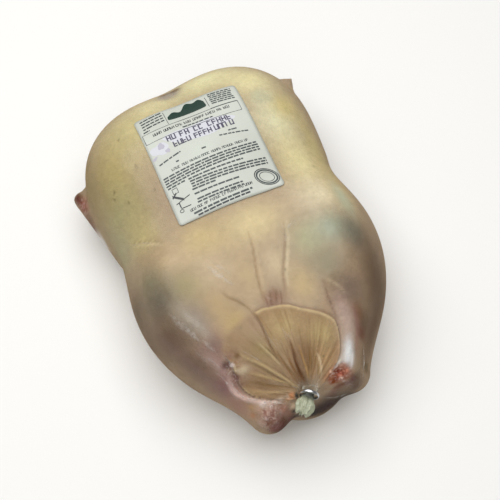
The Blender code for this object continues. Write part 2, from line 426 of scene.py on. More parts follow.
@dataclass(frozen=True)
class Fan:
    """The skin flaps that the film draws into the clip: two lobes with rims, finely pleated."""

    centre: Place = (-6.7, -174.0, 80.5)
    tilt: float = math.radians(26)
    rim: tuple[tuple[float, float], ...] = (
        (-76, 16), (-73, 24), (-70, 39), (-68, 47), (-64, 54), (-58, 62), (-54, 66), (-45, 73), (-39, 88),
        (-30, 92), (-16, 92), (-9, 90), (-5, 90), (0, 88), (6, 87), (11, 85), (17, 81), (24, 79), (30, 78),
        (38, 76), (42, 74), (47, 67), (52, 60), (58, 51), (62, 44), (65, 31), (69, 20), (74, 12))
    open_bearings: tuple[float, float] = (-40.0, -12.0)
    open_span: float = 3.0
    rim_height: float = 2.2
    rim_width: float = 1.6
    rim_fade: float = 22.0
    groove_depth: float = 1.0
    groove_width: float = 1.4
    pleats: tuple[tuple[float, float, float], ...] = ((17.0, 0.6, 0.13), (37.0, 0.9, 0.15), (67.0, 0.7, 0.14),
                                                      (113.0, 0.5, 0.10))
    narrowest_pleat: float = 1.6
    # A painted highlight along the rim's crest; painted shade in the groove below it and in the pleats'
    # valleys.
    rim_highlight_colour: str = "#cdb78e"
    groove_shade_colour: str = "#6b4a30"
    valley_shade_colour: str = "#7d5a34"

    def bearing_and_reach(self, points: np.ndarray) -> tuple[np.ndarray, np.ndarray]:
        """Give the way and the distance from the clip to each point.

        Args:
            points: Places on the skin, in metres.

        Returns:
            Bearings in degrees, 0 straight up the belly, and reaches in millimetres.
        """
        offset = points / MM - np.array(self.centre)
        uphill = offset[..., 1] * math.cos(self.tilt) + offset[..., 2] * math.sin(self.tilt)
        return np.degrees(np.arctan2(offset[..., 0], uphill)), np.linalg.norm(offset, axis=-1)

    def inside(self, points: np.ndarray) -> tuple[np.ndarray, np.ndarray, np.ndarray]:
        """Say how far inside the rim each point is.

        Args:
            points: Places on the skin, in metres.

        Returns:
            Millimetres inside the rim, the rim's strength, and the fan's pleats from -1 to 1.
        """
        bearing, reach = self.bearing_and_reach(points)
        bearings, reaches = np.array(self.rim).T
        edge = np.interp(bearing, bearings, reaches, left=0.0, right=0.0)
        first, last = self.open_bearings
        shut = smooth_step((first - bearing) / self.open_span) + smooth_step((bearing - last)
            / self.open_span)
        waves = np.zeros_like(bearing)
        for per_turn, wander, share in self.pleats:
            turn = np.radians(bearing) * per_turn
            spacing = 2 * math.pi * reach / per_turn
            seen = share * smooth_step(spacing / self.narrowest_pleat - 1.0)
            waves += seen * np.cos(turn + wander * np.sin(0.37 * turn + reach / 31.0) + reach / 60.0)
        return edge - reach, np.clip(shut, 0.0, 1.0), waves

    def height(self, points: np.ndarray) -> np.ndarray:
        """Give the fan's relief at each point, in metres."""
        depth, shut, waves = self.inside(points)
        reach = self.bearing_and_reach(points)[1]
        step = smooth_step(depth / self.rim_width + 0.5) * np.exp(-np.maximum(depth, 0.0) / self.rim_fade)
        groove = np.exp(-((depth + self.groove_width) / self.groove_width) ** 2)
        window = smooth_step(depth / 12.0) * smooth_step((reach - 6.0) / 10.0)
        fold = waves * window
        return MM * (shut * (self.rim_height * step - self.groove_depth * groove) + fold)

    def painted(self, colours: np.ndarray, points: np.ndarray) -> np.ndarray:
        """Lay the fan's colours over those of the skin: painted shade in the pleats' valleys and in the
        groove below the rim, and a painted highlight along the rim.

        Args:
            colours: Linear colours, one a point.
            points: Places on the skin, in metres.

        Returns:
            The colours with the fan's laid over.
        """
        depth, shut, waves = self.inside(points)
        reach = self.bearing_and_reach(points)[1]
        on_top = smooth_step((points[:, 2] - 0.066) / 0.012)
        lobe = smooth_step(depth / 6.0 + 0.5) * on_top
        colours = laid_over(colours, FAN_SKIN, 0.85 * lobe)
        for patch in FAN_PATCHES.values():
            colours = laid_over(colours, patch.colour, patch.strength * patch.cover(points) * lobe)
        # Painted shade in the pleats' valleys, a painted highlight on the rim, and painted shade in the
        # groove below it.
        valley = smooth_step(-waves * 4.5 - 0.3) * smooth_step(depth / 9.0) * (0.54 - 0.32
            * np.clip(reach / 80, 0, 1))
        rim = shut * np.exp(-((depth - 1.2) / 1.5) ** 2) * on_top
        groove = shut * np.exp(-((depth + 1.2) / 1.1) ** 2) * on_top
        for colour, cover in (
                (self.valley_shade_colour, valley * on_top), (self.rim_highlight_colour, 0.75 * rim),
                (self.groove_shade_colour, 0.5 * groove)):
            colours = laid_over(colours, colour, cover)
        return colours


SKIN_BASE = "#a38c71"
UNDERSIDE = "#978566"
FAN_SKIN = "#9c8060"

PATCHES = {
    "breast left top": Patch("#c8bd8a", (-57.9, 131.8, 118.2), (38, 40, 38), 0.8),
    "shoulder left": Patch("#ded3a3", (-26.6, 154.4, 111), (24, 22, 24), 0.7),
    "breast left": Patch("#b3a36c", (-90.9, 94, 107), (28, 40, 32), 0.8),
    "breast left side": Patch("#917f56", (-113.7, 104.7, 82), (18, 50, 30), 0.8),
    "breast left low": Patch("#a39e72", (-95, 55.6, 97.7), (26, 28, 30), 0.7),
    "breast top": Patch("#e6e1af", (32.7, 163.7, 110.4), (40, 24, 30), 0.8),
    "breast top right": Patch("#e7dda9", (74.5, 139.7, 117.5), (28, 22, 26), 0.8),
    "breast right": Patch("#e7e4bd", (79.7, 87.8, 117.1), (26, 32, 28), 0.8),
    "breast right yellow": Patch("#cdba7c", (94.7, 100.8, 111.8), (15, 16, 18), 0.8),
    "legs between": Patch("#ba9d7d", (-60.8, -91.6, 110), (14, 14, 14), 0.6),
    "breast right middle": Patch("#e6daa5", (83.4, 38.7, 108.9), (24, 34, 26), 0.8),
    "breast right side": Patch("#c1b078", (108.2, 53.8, 92.9), (12, 50, 28), 0.7),
    "breast right low": Patch("#e4d8b6", (84.6, -6.5, 118.2), (24, 24, 20), 0.8),
    "breast right edge": Patch("#c8ae75", (103.7, -4.3, 108.8), (12, 30, 24), 0.6),
    "under label": Patch("#d9c693", (11.2, -8.4, 116.5), (30, 20, 20), 0.8),
    "under label left": Patch("#c4ae77", (-38.8, -6.7, 115.8), (26, 22, 20), 0.8),
    "waist left": Patch("#b9aa78", (-86.7, 27.7, 101.4), (20, 22, 24), 0.8),
    "waist side": Patch("#a29d7a", (-108.9, 30.3, 77.6), (14, 24, 24), 0.7),
    "waist low": Patch("#c4ab85", (-75.8, -13.9, 113.5), (20, 16, 18), 0.7),
    "belly left": Patch("#c1ab8a", (-40.6, -42.1, 117.2), (22, 22, 18), 0.8),
    "belly middle": Patch("#b9a276", (-13.5, -55.2, 113.1), (14, 26, 16), 0.7),
    "belly right": Patch("#c7b38e", (15.2, -53.8, 113.8), (12, 18, 14), 0.7),
    # between keels: painted shade in the hollow between the two keel creases.
    "between keels": Patch("#755845", (-0.3, -83.6, 110.6), (11, 9, 9), 0.75, 1.3),
    "belly low left": Patch("#b19667", (-54.9, -73.4, 115.1), (22, 20, 16), 0.8),
    "flap left top": Patch("#b99d5a", (-40.8, -95.1, 109.8), (14, 14, 12), 0.6),
    "thigh left top": Patch("#9b8f5b", (-72.8, -43.9, 116.4), (18, 18, 16), 0.7),
    "thigh left grey": Patch("#807a60", (-98.2, -23.7, 104.1), (18, 20, 22), 0.8),
    # thigh left dark, thigh left side, thigh left low, leg left and leg left side: dark leg meat under the
    # skin, with painted shade on the steep side turned from the light.
    "thigh left dark": Patch("#615c51", (-97.1, -46.6, 105.8), (20, 20, 22), 0.8),
    "thigh left side": Patch("#645644", (-117.8, -34.5, 79.1), (12, 24, 22), 0.7),
    "thigh left middle": Patch("#7e736d", (-76, -77.1, 111.1), (16, 18, 16), 0.7),
    "thigh left low": Patch("#5b4739", (-100.8, -78.6, 95.2), (24, 22, 24), 0.8),
    "leg left": Patch("#6b5646", (-88.1, -108.8, 89.3), (22, 20, 20), 0.8),
    "leg left inner": Patch("#73504e", (-67.3, -102.1, 104.7), (10, 14, 12), 0.7),
    "leg left edge": Patch("#7e6b56", (-98, -113.2, 48.4), (14, 16, 12), 0.6),
    "leg left side": Patch("#695644", (-117.4, -67, 67.9), (14, 28, 22), 0.6),
    "leg left end": Patch("#7d5558", (-70.4, -135.7, 79.8), (16, 16, 16), 0.8),
    "leg left low": Patch("#9f7365", (-66.2, -153.1, 64.9), (14, 12, 12), 0.7),
    "thigh right pale": Patch("#aaa780", (50.4, -46.9, 122.2), (18, 20, 16), 0.8),
    "thigh right top": Patch("#9ca892", (75.7, -45.2, 123.7), (18, 16, 16), 0.7),
    "thigh right grey": Patch("#837d61", (55.6, -74.6, 120), (15, 15, 14), 0.8),
    "thigh right middle": Patch("#c0a875", (27.9, -82.9, 112.8), (13, 18, 14), 0.7),
    "thigh right brown": Patch("#756357", (67, -103.1, 110.1), (15, 18, 16), 0.8),
    "thigh right top edge": Patch("#686d62", (93.4, -56.7, 118.2), (12, 18, 18), 0.7),
    # thigh right edge and leg right side: dark meat under the skin, with painted shade on the right flank
    # turned from the light.
    "thigh right edge": Patch("#503f2e", (98.3, -101.8, 97), (16, 60, 40), 0.6),
    "leg right side": Patch("#543e30", (67.4, -131.3, 91), (9, 18, 18), 0.7),
    # tail band, hock left under and hock right side: painted shadow low on the tail end, below the tuft and
    # the hocks.
    "tail band": Patch("#604838", (21.6, -174.8, 60.9), (14, 6, 7), 0.7),
    "hock left under": Patch("#5a4335", (-33.2, -182.7, 51.2), (14, 7, 15), 0.95, 1.3),
    "hock right side": Patch("#584334", (43.2, -173.9, 64.2), (10, 10, 13), 0.85, 1.2),
    "breast right rim": Patch("#afb59d", (102, -15.5, 112.7), (7, 24, 30), 0.7, 1.2),
    "shoulder right rim": Patch("#c5ac7c", (123, 140.7, 75.6), (10, 10, 20), 0.6, 1.2),
    "hock left base": Patch("#8a645f", (-38.2, -174.4, 68.3), (17, 8, 16), 0.8, 1.3),
}


@dataclass
class Finish:
    """One material: what the real one is, and the nodes that show it."""

    name: str = "finish"

    def build(self) -> bpy.types.Material:
        """Make the material with its nodes.

        Returns:
            The material.
        """
        made = bpy.data.materials.new(self.name)
        made.use_nodes = True
        made.node_tree.nodes.clear()
        self.wire(made.node_tree)
        return made

    def wire(self, tree: bpy.types.NodeTree) -> None:
        """Add the material's nodes to its tree."""
        raise NotImplementedError


def add_node(tree: bpy.types.NodeTree, kind: str, inputs: dict | None = None,
    **settings: Any) -> bpy.types.Node:
    """Add one node with its settings, values and links.

    Args:
        tree: The material's node tree.
        kind: The node's type.
        inputs: For each socket, by name or number, its value or the output that it is linked to.
        **settings: The node's own settings.

    Returns:
        The node.
    """
    node = tree.nodes.new(kind)
    for name, value in settings.items():
        setattr(node, name, value)
    for socket, value in (inputs or {}).items():
        if isinstance(value, bpy.types.NodeSocket):
            tree.links.new(value, node.inputs[socket])
        else:
            node.inputs[socket].default_value = value
    return node


@dataclass
class PoultrySkin(Finish):
    """Raw duck skin under tight shrink film: moist fat that lets a little light in, pored and mottled."""

    name: str = "raw_poultry_skin"
    mottle_size: float = 0.009
    marbling_size: float = 0.0035
    pore_spacing: float = 0.0030
    roughness: float = 0.42
    fibre_size: float = 0.0042
    fibre_relief: float = 6.0
    raw_red: str = "#70392b"
    raw_pale: str = "#ead8ce"

    def wire(self, tree: bpy.types.NodeTree) -> None:
        """Add the skin's nodes: the painted tint, mottling, marbling, pores and the raw, wet places."""
        place = add_node(tree, "ShaderNodeTexCoord").outputs["Object"]
        tint = add_node(tree, "ShaderNodeAttribute", attribute_name=TINT).outputs["Color"]
        mottle = add_node(tree, "ShaderNodeTexNoise", {
            "Vector": place, "Scale": 1.0 / self.mottle_size, "Detail": 3.0, "Roughness": 0.55})
        marbling = add_node(tree, "ShaderNodeTexNoise", {
            "Vector": place, "Scale": 1.0 / self.marbling_size, "Detail": 4.0, "Roughness": 0.6,
                "Distortion": 0.8})
        pale = add_node(tree, "ShaderNodeMapRange", {
            "Value": mottle.outputs["Fac"], "From Min": 0.35, "From Max": 0.65, "To Min": 0.955,
                "To Max": 1.045})
        grain = add_node(tree, "ShaderNodeMapRange", {
            "Value": marbling.outputs["Fac"], "From Min": 0.3, "From Max": 0.7, "To Min": 0.92,
                "To Max": 1.07})
        both = add_node(tree, "ShaderNodeMath", {0: pale.outputs[0], 1: grain.outputs[0]},
            operation="MULTIPLY")
        shaded = add_node(tree, "ShaderNodeVectorMath", {0: tint, "Scale": both.outputs[0]},
            operation="SCALE")
        raw = add_node(tree, "ShaderNodeAttribute", attribute_name=RAW).outputs["Fac"]
        fibres = add_node(tree, "ShaderNodeTexNoise", {
            "Vector": place, "Scale": 1.0 / self.fibre_size, "Detail": 3.0, "Roughness": 0.55,
                "Distortion": 1.4})
        skin = shaded.outputs[0]
        for colour, bare, full, most in ((self.raw_red, 0.50, 0.40, 0.75), (self.raw_pale, 0.54, 0.68, 0.55)):
            vein = add_node(tree, "ShaderNodeMapRange", {
                "Value": fibres.outputs["Fac"], "From Min": bare, "From Max": full, "To Min": 0.0,
                    "To Max": most})
            cover = add_node(tree, "ShaderNodeMath", {0: vein.outputs[0], 1: raw}, operation="MULTIPLY")
            mixed = add_node(tree, "ShaderNodeMix", {0: cover.outputs[0], 6: skin}, data_type="RGBA")
            mixed.inputs[7].default_value = (*linear(colour), 1.0)
            skin = mixed.outputs[2]
        pores = add_node(tree, "ShaderNodeTexVoronoi", {"Vector": place, "Scale": 1.0 / self.pore_spacing})
        bumps = add_node(tree, "ShaderNodeMapRange", {
            "Value": pores.outputs["Distance"], "From Min": 0.0, "From Max": 0.45, "To Min": 1.0,
                "To Max": 0.0})
        swell = add_node(tree, "ShaderNodeMath", {0: marbling.outputs["Fac"], 1: 1.6, 2: bumps.outputs[0]},
                         operation="MULTIPLY_ADD")
        lumps = add_node(tree, "ShaderNodeMath", {0: fibres.outputs["Fac"], 1: raw}, operation="MULTIPLY")
        relief = add_node(tree, "ShaderNodeMath",
                          {0: lumps.outputs[0], 1: self.fibre_relief, 2: swell.outputs[0]},
                          operation="MULTIPLY_ADD")
        bump = add_node(tree, "ShaderNodeBump", {"Strength": 0.45, "Distance": 0.0005,
            "Height": relief.outputs[0]})
        rough = add_node(tree, "ShaderNodeMapRange", {
            "Value": marbling.outputs["Fac"], "From Min": 0.3, "From Max": 0.7,
            "To Min": self.roughness - 0.06, "To Max": self.roughness + 0.08})
        shader = add_node(tree, "ShaderNodeBsdfPrincipled", {
            "Base Color": skin, "Roughness": rough.outputs[0], "Normal": bump.outputs[0],
            "Subsurface Weight": 0.12, "Subsurface Radius": (1.0, 0.45, 0.25), "Subsurface Scale": 0.004,
            "Specular IOR Level": 0.0})
        add_node(tree, "ShaderNodeOutputMaterial", {"Surface": shader.outputs[0]})


@dataclass
class ShrinkFilm(Finish):
    """Clear shrink film: it shows what is behind it, mirrors the lights softly, and clouds in its folds."""

    name: str = "clear_shrink_film"
    wave_size: float = 0.011
    roughness: float = 0.22
    most_gloss: float = 0.026
    cloud_colour: str = "#c9c4ae"

    def wire(self, tree: bpy.types.NodeTree) -> None:
        """Add the film's nodes: a clear sheet with gloss by Fresnel, and cloudy folds."""
        place = add_node(tree, "ShaderNodeTexCoord").outputs["Object"]
        waves = add_node(tree, "ShaderNodeTexNoise", {
            "Vector": place, "Scale": 1.0 / self.wave_size, "Detail": 2.0, "Roughness": 0.5})
        bump = add_node(tree, "ShaderNodeBump", {
            "Strength": 0.25, "Distance": 0.0006, "Height": waves.outputs["Fac"]})
        clear = add_node(tree, "ShaderNodeBsdfTransparent")
        gloss = add_node(tree, "ShaderNodeBsdfGlossy", {
            "Color": (1.0, 1.0, 1.0, 1.0), "Roughness": self.roughness, "Normal": bump.outputs[0]})
        mirror = add_node(tree, "ShaderNodeFresnel", {"IOR": 1.36, "Normal": bump.outputs[0]})
        share = add_node(tree, "ShaderNodeMath", {0: mirror.outputs[0], 1: self.most_gloss},
            operation="MINIMUM")
        sheet = add_node(tree, "ShaderNodeMixShader", {
            0: share.outputs[0], 1: clear.outputs[0], 2: gloss.outputs[0]})
        cloud = add_node(tree, "ShaderNodeAttribute", attribute_name=HAZE_AND_PAINTED_LIGHT).outputs["Fac"]
        haze = add_node(tree, "ShaderNodeBsdfPrincipled", {
            "Base Color": (*linear(self.cloud_colour), 1.0), "Roughness": 0.3})
        film = add_node(tree, "ShaderNodeMixShader", {0: cloud, 1: sheet.outputs[0], 2: haze.outputs[0]})
        add_node(tree, "ShaderNodeOutputMaterial", {"Surface": film.outputs[0]})


@dataclass
class CreasedFilmAndSheen(Finish):
    """Shrink film doubled in a crease, with painted highlight where the film catches the light: half clear,
    half milky, and glossier than the flat film.
    """

    name: str = "creased_film_and_painted_sheen"
    colour: str = "#e9e4da"
    least: float = 0.06
    most: float = 0.50
    patch_size: float = 0.0045

    def wire(self, tree: bpy.types.NodeTree) -> None:
        """Add the crease's nodes: a milky white, partly painted highlight, that comes and goes along the
        clear film.
        """
        place = add_node(tree, "ShaderNodeTexCoord").outputs["Object"]
        breaks = add_node(tree, "ShaderNodeTexNoise", {
            "Vector": place, "Scale": 1.0 / self.patch_size, "Detail": 2.0, "Roughness": 0.6})
        share = add_node(tree, "ShaderNodeMapRange", {
            "Value": breaks.outputs["Fac"], "From Min": 0.36, "From Max": 0.62, "To Min": self.least,
            "To Max": self.most})
        middle = add_node(tree, "ShaderNodeAttribute", attribute_name=HAZE_AND_PAINTED_LIGHT).outputs["Fac"]
        cover = add_node(tree, "ShaderNodeMath", {0: share.outputs[0], 1: middle}, operation="MULTIPLY")
        clear = add_node(tree, "ShaderNodeBsdfTransparent")
        milky = add_node(tree, "ShaderNodeBsdfPrincipled", {
            "Base Color": (*linear(self.colour), 1.0), "Roughness": 0.28})
        film = add_node(tree, "ShaderNodeMixShader", {0: cover.outputs[0], 1: clear.outputs[0],
            2: milky.outputs[0]})
        add_node(tree, "ShaderNodeOutputMaterial", {"Surface": film.outputs[0]})


@dataclass
class GatheredFilm(Finish):
    """The same film gathered many layers thick: milky, pale green-grey, soft gloss on its folds."""

    name: str = "gathered_film"
    colour: str = "#c3c4ab"
    deep_colour: str = "#7f8766"
    root_shade_colour: str = "#2f3329"

    def wire(self, tree: bpy.types.NodeTree) -> None:
        """Add the gathered film's nodes: milky layers, darker folds between them, and painted shade at the
        root, inside the clip.
        """
        place = add_node(tree, "ShaderNodeTexCoord").outputs["Object"]
        layers = add_node(tree, "ShaderNodeTexNoise", {
            "Vector": place, "Scale": 320.0, "Detail": 2.0, "Roughness": 0.5, "Distortion": 1.0})
        ramp = add_node(tree, "ShaderNodeMix", {
            "Factor": layers.outputs["Fac"], "A": (*linear(self.deep_colour), 1.0),
            "B": (*linear(self.colour), 1.0)}, data_type="RGBA")
        mix_colours(ramp, linear(self.deep_colour), linear(self.colour))
        # Here the cloud attribute holds the painted shade at the tail's root, inside the clip ring.
        depth = add_node(tree, "ShaderNodeAttribute", attribute_name=HAZE_AND_PAINTED_LIGHT).outputs["Fac"]
        rooted = add_node(tree, "ShaderNodeMix", {0: depth, 6: ramp.outputs[2]}, data_type="RGBA")
        rooted.inputs[7].default_value = (*linear(self.root_shade_colour), 1.0)
        shader = add_node(tree, "ShaderNodeBsdfPrincipled", {
            "Base Color": rooted.outputs[2], "Roughness": 0.32, "Subsurface Weight": 0.35,
            "Subsurface Radius": (1.0, 1.0, 0.9), "Subsurface Scale": 0.003, "Coat Weight": 0.3,
            "Coat Roughness": 0.15})
        add_node(tree, "ShaderNodeOutputMaterial", {"Surface": shader.outputs[0]})


def mix_colours(node: bpy.types.Node, first: tuple, second: tuple) -> None:
    """Set the two colours of a colour mix.

    Args:
        node: A Mix node of colours.
        first: Linear colour at factor 0.
        second: Linear colour at factor 1.
    """
    node.inputs[6].default_value = (*first, 1.0)
    node.inputs[7].default_value = (*second, 1.0)


@dataclass
class DrawnWire(Finish):
    """Drawn aluminium wire: bright, with fine lines from the drawing die."""

    name: str = "drawn_aluminium_wire"
    colour: str = "#c9cbcc"
    line_width: float = 0.0004

    def wire(self, tree: bpy.types.NodeTree) -> None:
        """Add the wire's nodes: metal with fine uneven polish."""
        place = add_node(tree, "ShaderNodeTexCoord").outputs["Object"]
        lines = add_node(tree, "ShaderNodeTexNoise", {
            "Vector": place, "Scale": 1.0 / self.line_width, "Detail": 2.0, "Roughness": 0.5})
        rough = add_node(tree, "ShaderNodeMapRange", {
            "Value": lines.outputs["Fac"], "From Min": 0.3, "From Max": 0.7, "To Min": 0.16, "To Max": 0.30})
        shader = add_node(tree, "ShaderNodeBsdfPrincipled", {
            "Base Color": (*linear(self.colour), 1.0), "Metallic": 1.0, "Roughness": rough.outputs[0]})
        add_node(tree, "ShaderNodeOutputMaterial", {"Surface": shader.outputs[0]})


@dataclass
class CoatedPaper(Finish):
    """Coated label paper: white with a cool cast, faintly mottled, with smudges of violet stamping ink."""

    name: str = "coated_label_paper"
    colour: str = "#c9cfc4"
    shade_colour: str = "#c0c1b7"

    def wire(self, tree: bpy.types.NodeTree) -> None:
        """Add the paper's nodes: a pale sheet with soft mottling and a fine tooth."""
        place = add_node(tree, "ShaderNodeTexCoord").outputs["Object"]
        cloud = add_node(tree, "ShaderNodeTexNoise", {
            "Vector": place, "Scale": 45.0, "Detail": 2.0, "Roughness": 0.5})
        fibres = add_node(tree, "ShaderNodeTexNoise", {
            "Vector": place, "Scale": 1500.0, "Detail": 2.0, "Roughness": 0.5})
        ramp = add_node(tree, "ShaderNodeMix", {"Factor": cloud.outputs["Fac"]}, data_type="RGBA")
        mix_colours(ramp, linear(self.shade_colour), linear(self.colour))
        bump = add_node(tree, "ShaderNodeBump", {
            "Strength": 0.15, "Distance": 0.0001, "Height": fibres.outputs["Fac"]})
        shader = add_node(tree, "ShaderNodeBsdfPrincipled", {
            "Base Color": ramp.outputs[2], "Roughness": 0.42, "Normal": bump.outputs[0]})
        add_node(tree, "ShaderNodeOutputMaterial", {"Surface": shader.outputs[0]})


@dataclass
class PrintingInk(Finish):
    """A thin layer of printing ink on the label's paper, a little uneven."""

    name: str = "printing_ink"
    colour: str = "#2b2f38"

    def wire(self, tree: bpy.types.NodeTree) -> None:
        """Add the ink's nodes: one colour that the paper's tooth breaks up slightly."""
        place = add_node(tree, "ShaderNodeTexCoord").outputs["Object"]
        grain = add_node(tree, "ShaderNodeTexNoise", {"Vector": place, "Scale": 900.0, "Detail": 1.0})
        rough = add_node(tree, "ShaderNodeMapRange", {
            "Value": grain.outputs["Fac"], "From Min": 0.3, "From Max": 0.7, "To Min": 0.38, "To Max": 0.5})
        shader = add_node(tree, "ShaderNodeBsdfPrincipled", {
            "Base Color": (*linear(self.colour), 1.0), "Roughness": rough.outputs[0]})
        add_node(tree, "ShaderNodeOutputMaterial", {"Surface": shader.outputs[0]})


@dataclass
class StudioFloor(Finish):
    """Seamless studio paper: matt and nearly white."""

    name: str = "studio_paper"
    colour: str = "#f4f3f0"

    def wire(self, tree: bpy.types.NodeTree) -> None:
        """Add the floor's one matt shader."""
        shader = add_node(tree, "ShaderNodeBsdfPrincipled", {
            "Base Color": (*linear(self.colour), 1.0), "Roughness": 0.9})
        add_node(tree, "ShaderNodeOutputMaterial", {"Surface": shader.outputs[0]})


# Building pieces


def deselect() -> None:
    """Leave edit mode and select nothing."""
    if bpy.context.object and bpy.context.object.mode != "OBJECT":
        bpy.ops.object.mode_set(mode="OBJECT")
    bpy.ops.object.select_all(action="DESELECT")


def coordinates(mesh: bpy.types.Mesh) -> np.ndarray:
    """Read the places of a mesh's vertices, one a row."""
    values = np.empty(3 * len(mesh.vertices))
    mesh.vertices.foreach_get("co", values)
    return values.reshape(-1, 3)


def reshape(mesh: bpy.types.Mesh, places: np.ndarray) -> None:
    """Move a mesh's vertices to new places, one a row."""
    mesh.vertices.foreach_set("co", np.ascontiguousarray(places, dtype=np.float32).ravel())
    mesh.update()


def sphere_from_rings(name: str, rings: np.ndarray) -> tuple[bpy.types.Object, np.ndarray]:
    """Draw a sphere primitive out over rings of places, with a pole at each end.

    Args:
        name: The piece's name.
        rings: Places, as rings of meridians. The first and last ring close to a point.

    Returns:
        The piece, and for each of its vertices the row of the place that it took.
    """
    deselect()
    count, meridians = len(rings) - 1, rings.shape[1]
    bpy.ops.mesh.primitive_uv_sphere_add(segments=meridians, ring_count=count, radius=1.0)
    piece = bpy.context.object
    piece.name = piece.data.name = name
    start = coordinates(piece.data)
    ring = np.rint(np.arccos(np.clip(start[:, 2], -1.0, 1.0)) / math.pi * count).astype(int)
    meridian = np.rint(np.arctan2(start[:, 1], start[:, 0]) / (2 * math.pi) * meridians).astype(int)
    closed = rings.copy()
    closed[0], closed[-1] = rings[0].mean(0), rings[-1].mean(0)
    order = ring * meridians + meridian % meridians
    reshape(piece.data, closed.reshape(-1, 3)[order])
    return outward(piece), order


def outward(piece: bpy.types.Object) -> bpy.types.Object:
    """Turn a closed piece's faces outwards and shade it smooth.

    Args:
        piece: The piece.

    Returns:
        The same piece.
    """
    deselect()
    bpy.context.view_layer.objects.active = piece
    piece.select_set(True)
    bpy.ops.object.mode_set(mode="EDIT")
    bpy.ops.mesh.select_all(action="SELECT")
    bpy.ops.mesh.normals_make_consistent(inside=False)
    bpy.ops.object.mode_set(mode="OBJECT")
    bpy.ops.object.shade_smooth()
    return piece


def hand_in(piece: bpy.types.Object, slot: str, finishes: list[bpy.types.Material],
    *nodes: str) -> bpy.types.Object:
    """Dress a piece and tell the frame what it stands for.

    Args:
        piece: The piece.
        slot: Not used.
        finishes: Its materials, in the order of its faces' numbers.
        *nodes: The CAD nodes that it replaces.

    Returns:
        The same piece.
    """
    numbers = [face.material_index for face in piece.data.polygons]
    piece.data.materials.clear()
    for finish in finishes:
        piece.data.materials.append(finish)
    piece.data.polygons.foreach_set("material_index", numbers)
    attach(piece, BODY)
    if nodes:
        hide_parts(*nodes)
    LOG.info("%s: %d faces", piece.name, len(piece.data.polygons))
    return piece


def paint(mesh: bpy.types.Mesh, name: str, colours: np.ndarray) -> None:
    """Store a linear colour on each vertex.

    Args:
        mesh: The mesh.
        name: The attribute's name.
        colours: Red, green and blue, one row a vertex.
    """
    attribute = mesh.color_attributes.new(name=name, type="FLOAT_COLOR", domain="POINT")
    values = np.column_stack([colours, np.ones(len(colours))])
    attribute.data.foreach_set("color", values.astype(np.float32).ravel())


FAN_PATCHES = {
    "lobe main": Patch("#b6a076", (-3.1, -111.6, 107.3), (15, 14, 12), 0.8),
    "lobe right": Patch("#b39f72", (26.4, -130.1, 100.7), (13, 14, 12), 0.8),
    "lobe middle": Patch("#775940", (5, -142.2, 97.3), (11, 14, 12), 0.8),
    "lobe right low": Patch("#b3926a", (20, -148.9, 92.3), (10, 12, 12), 0.7),
    "lobe left middle": Patch("#968157", (-29.5, -122.6, 101.6), (12, 13, 12), 0.8),
    "lobe left low": Patch("#896f51", (-40, -146.9, 85.6), (16, 10, 12), 0.8),
    "lobe left corner": Patch("#967d6a", (-53.4, -132.7, 91), (9, 9, 10), 0.7),
    "throat": Patch("#624939", (-5.1, -158.7, 87.4), (8, 8, 9), 0.8),
}

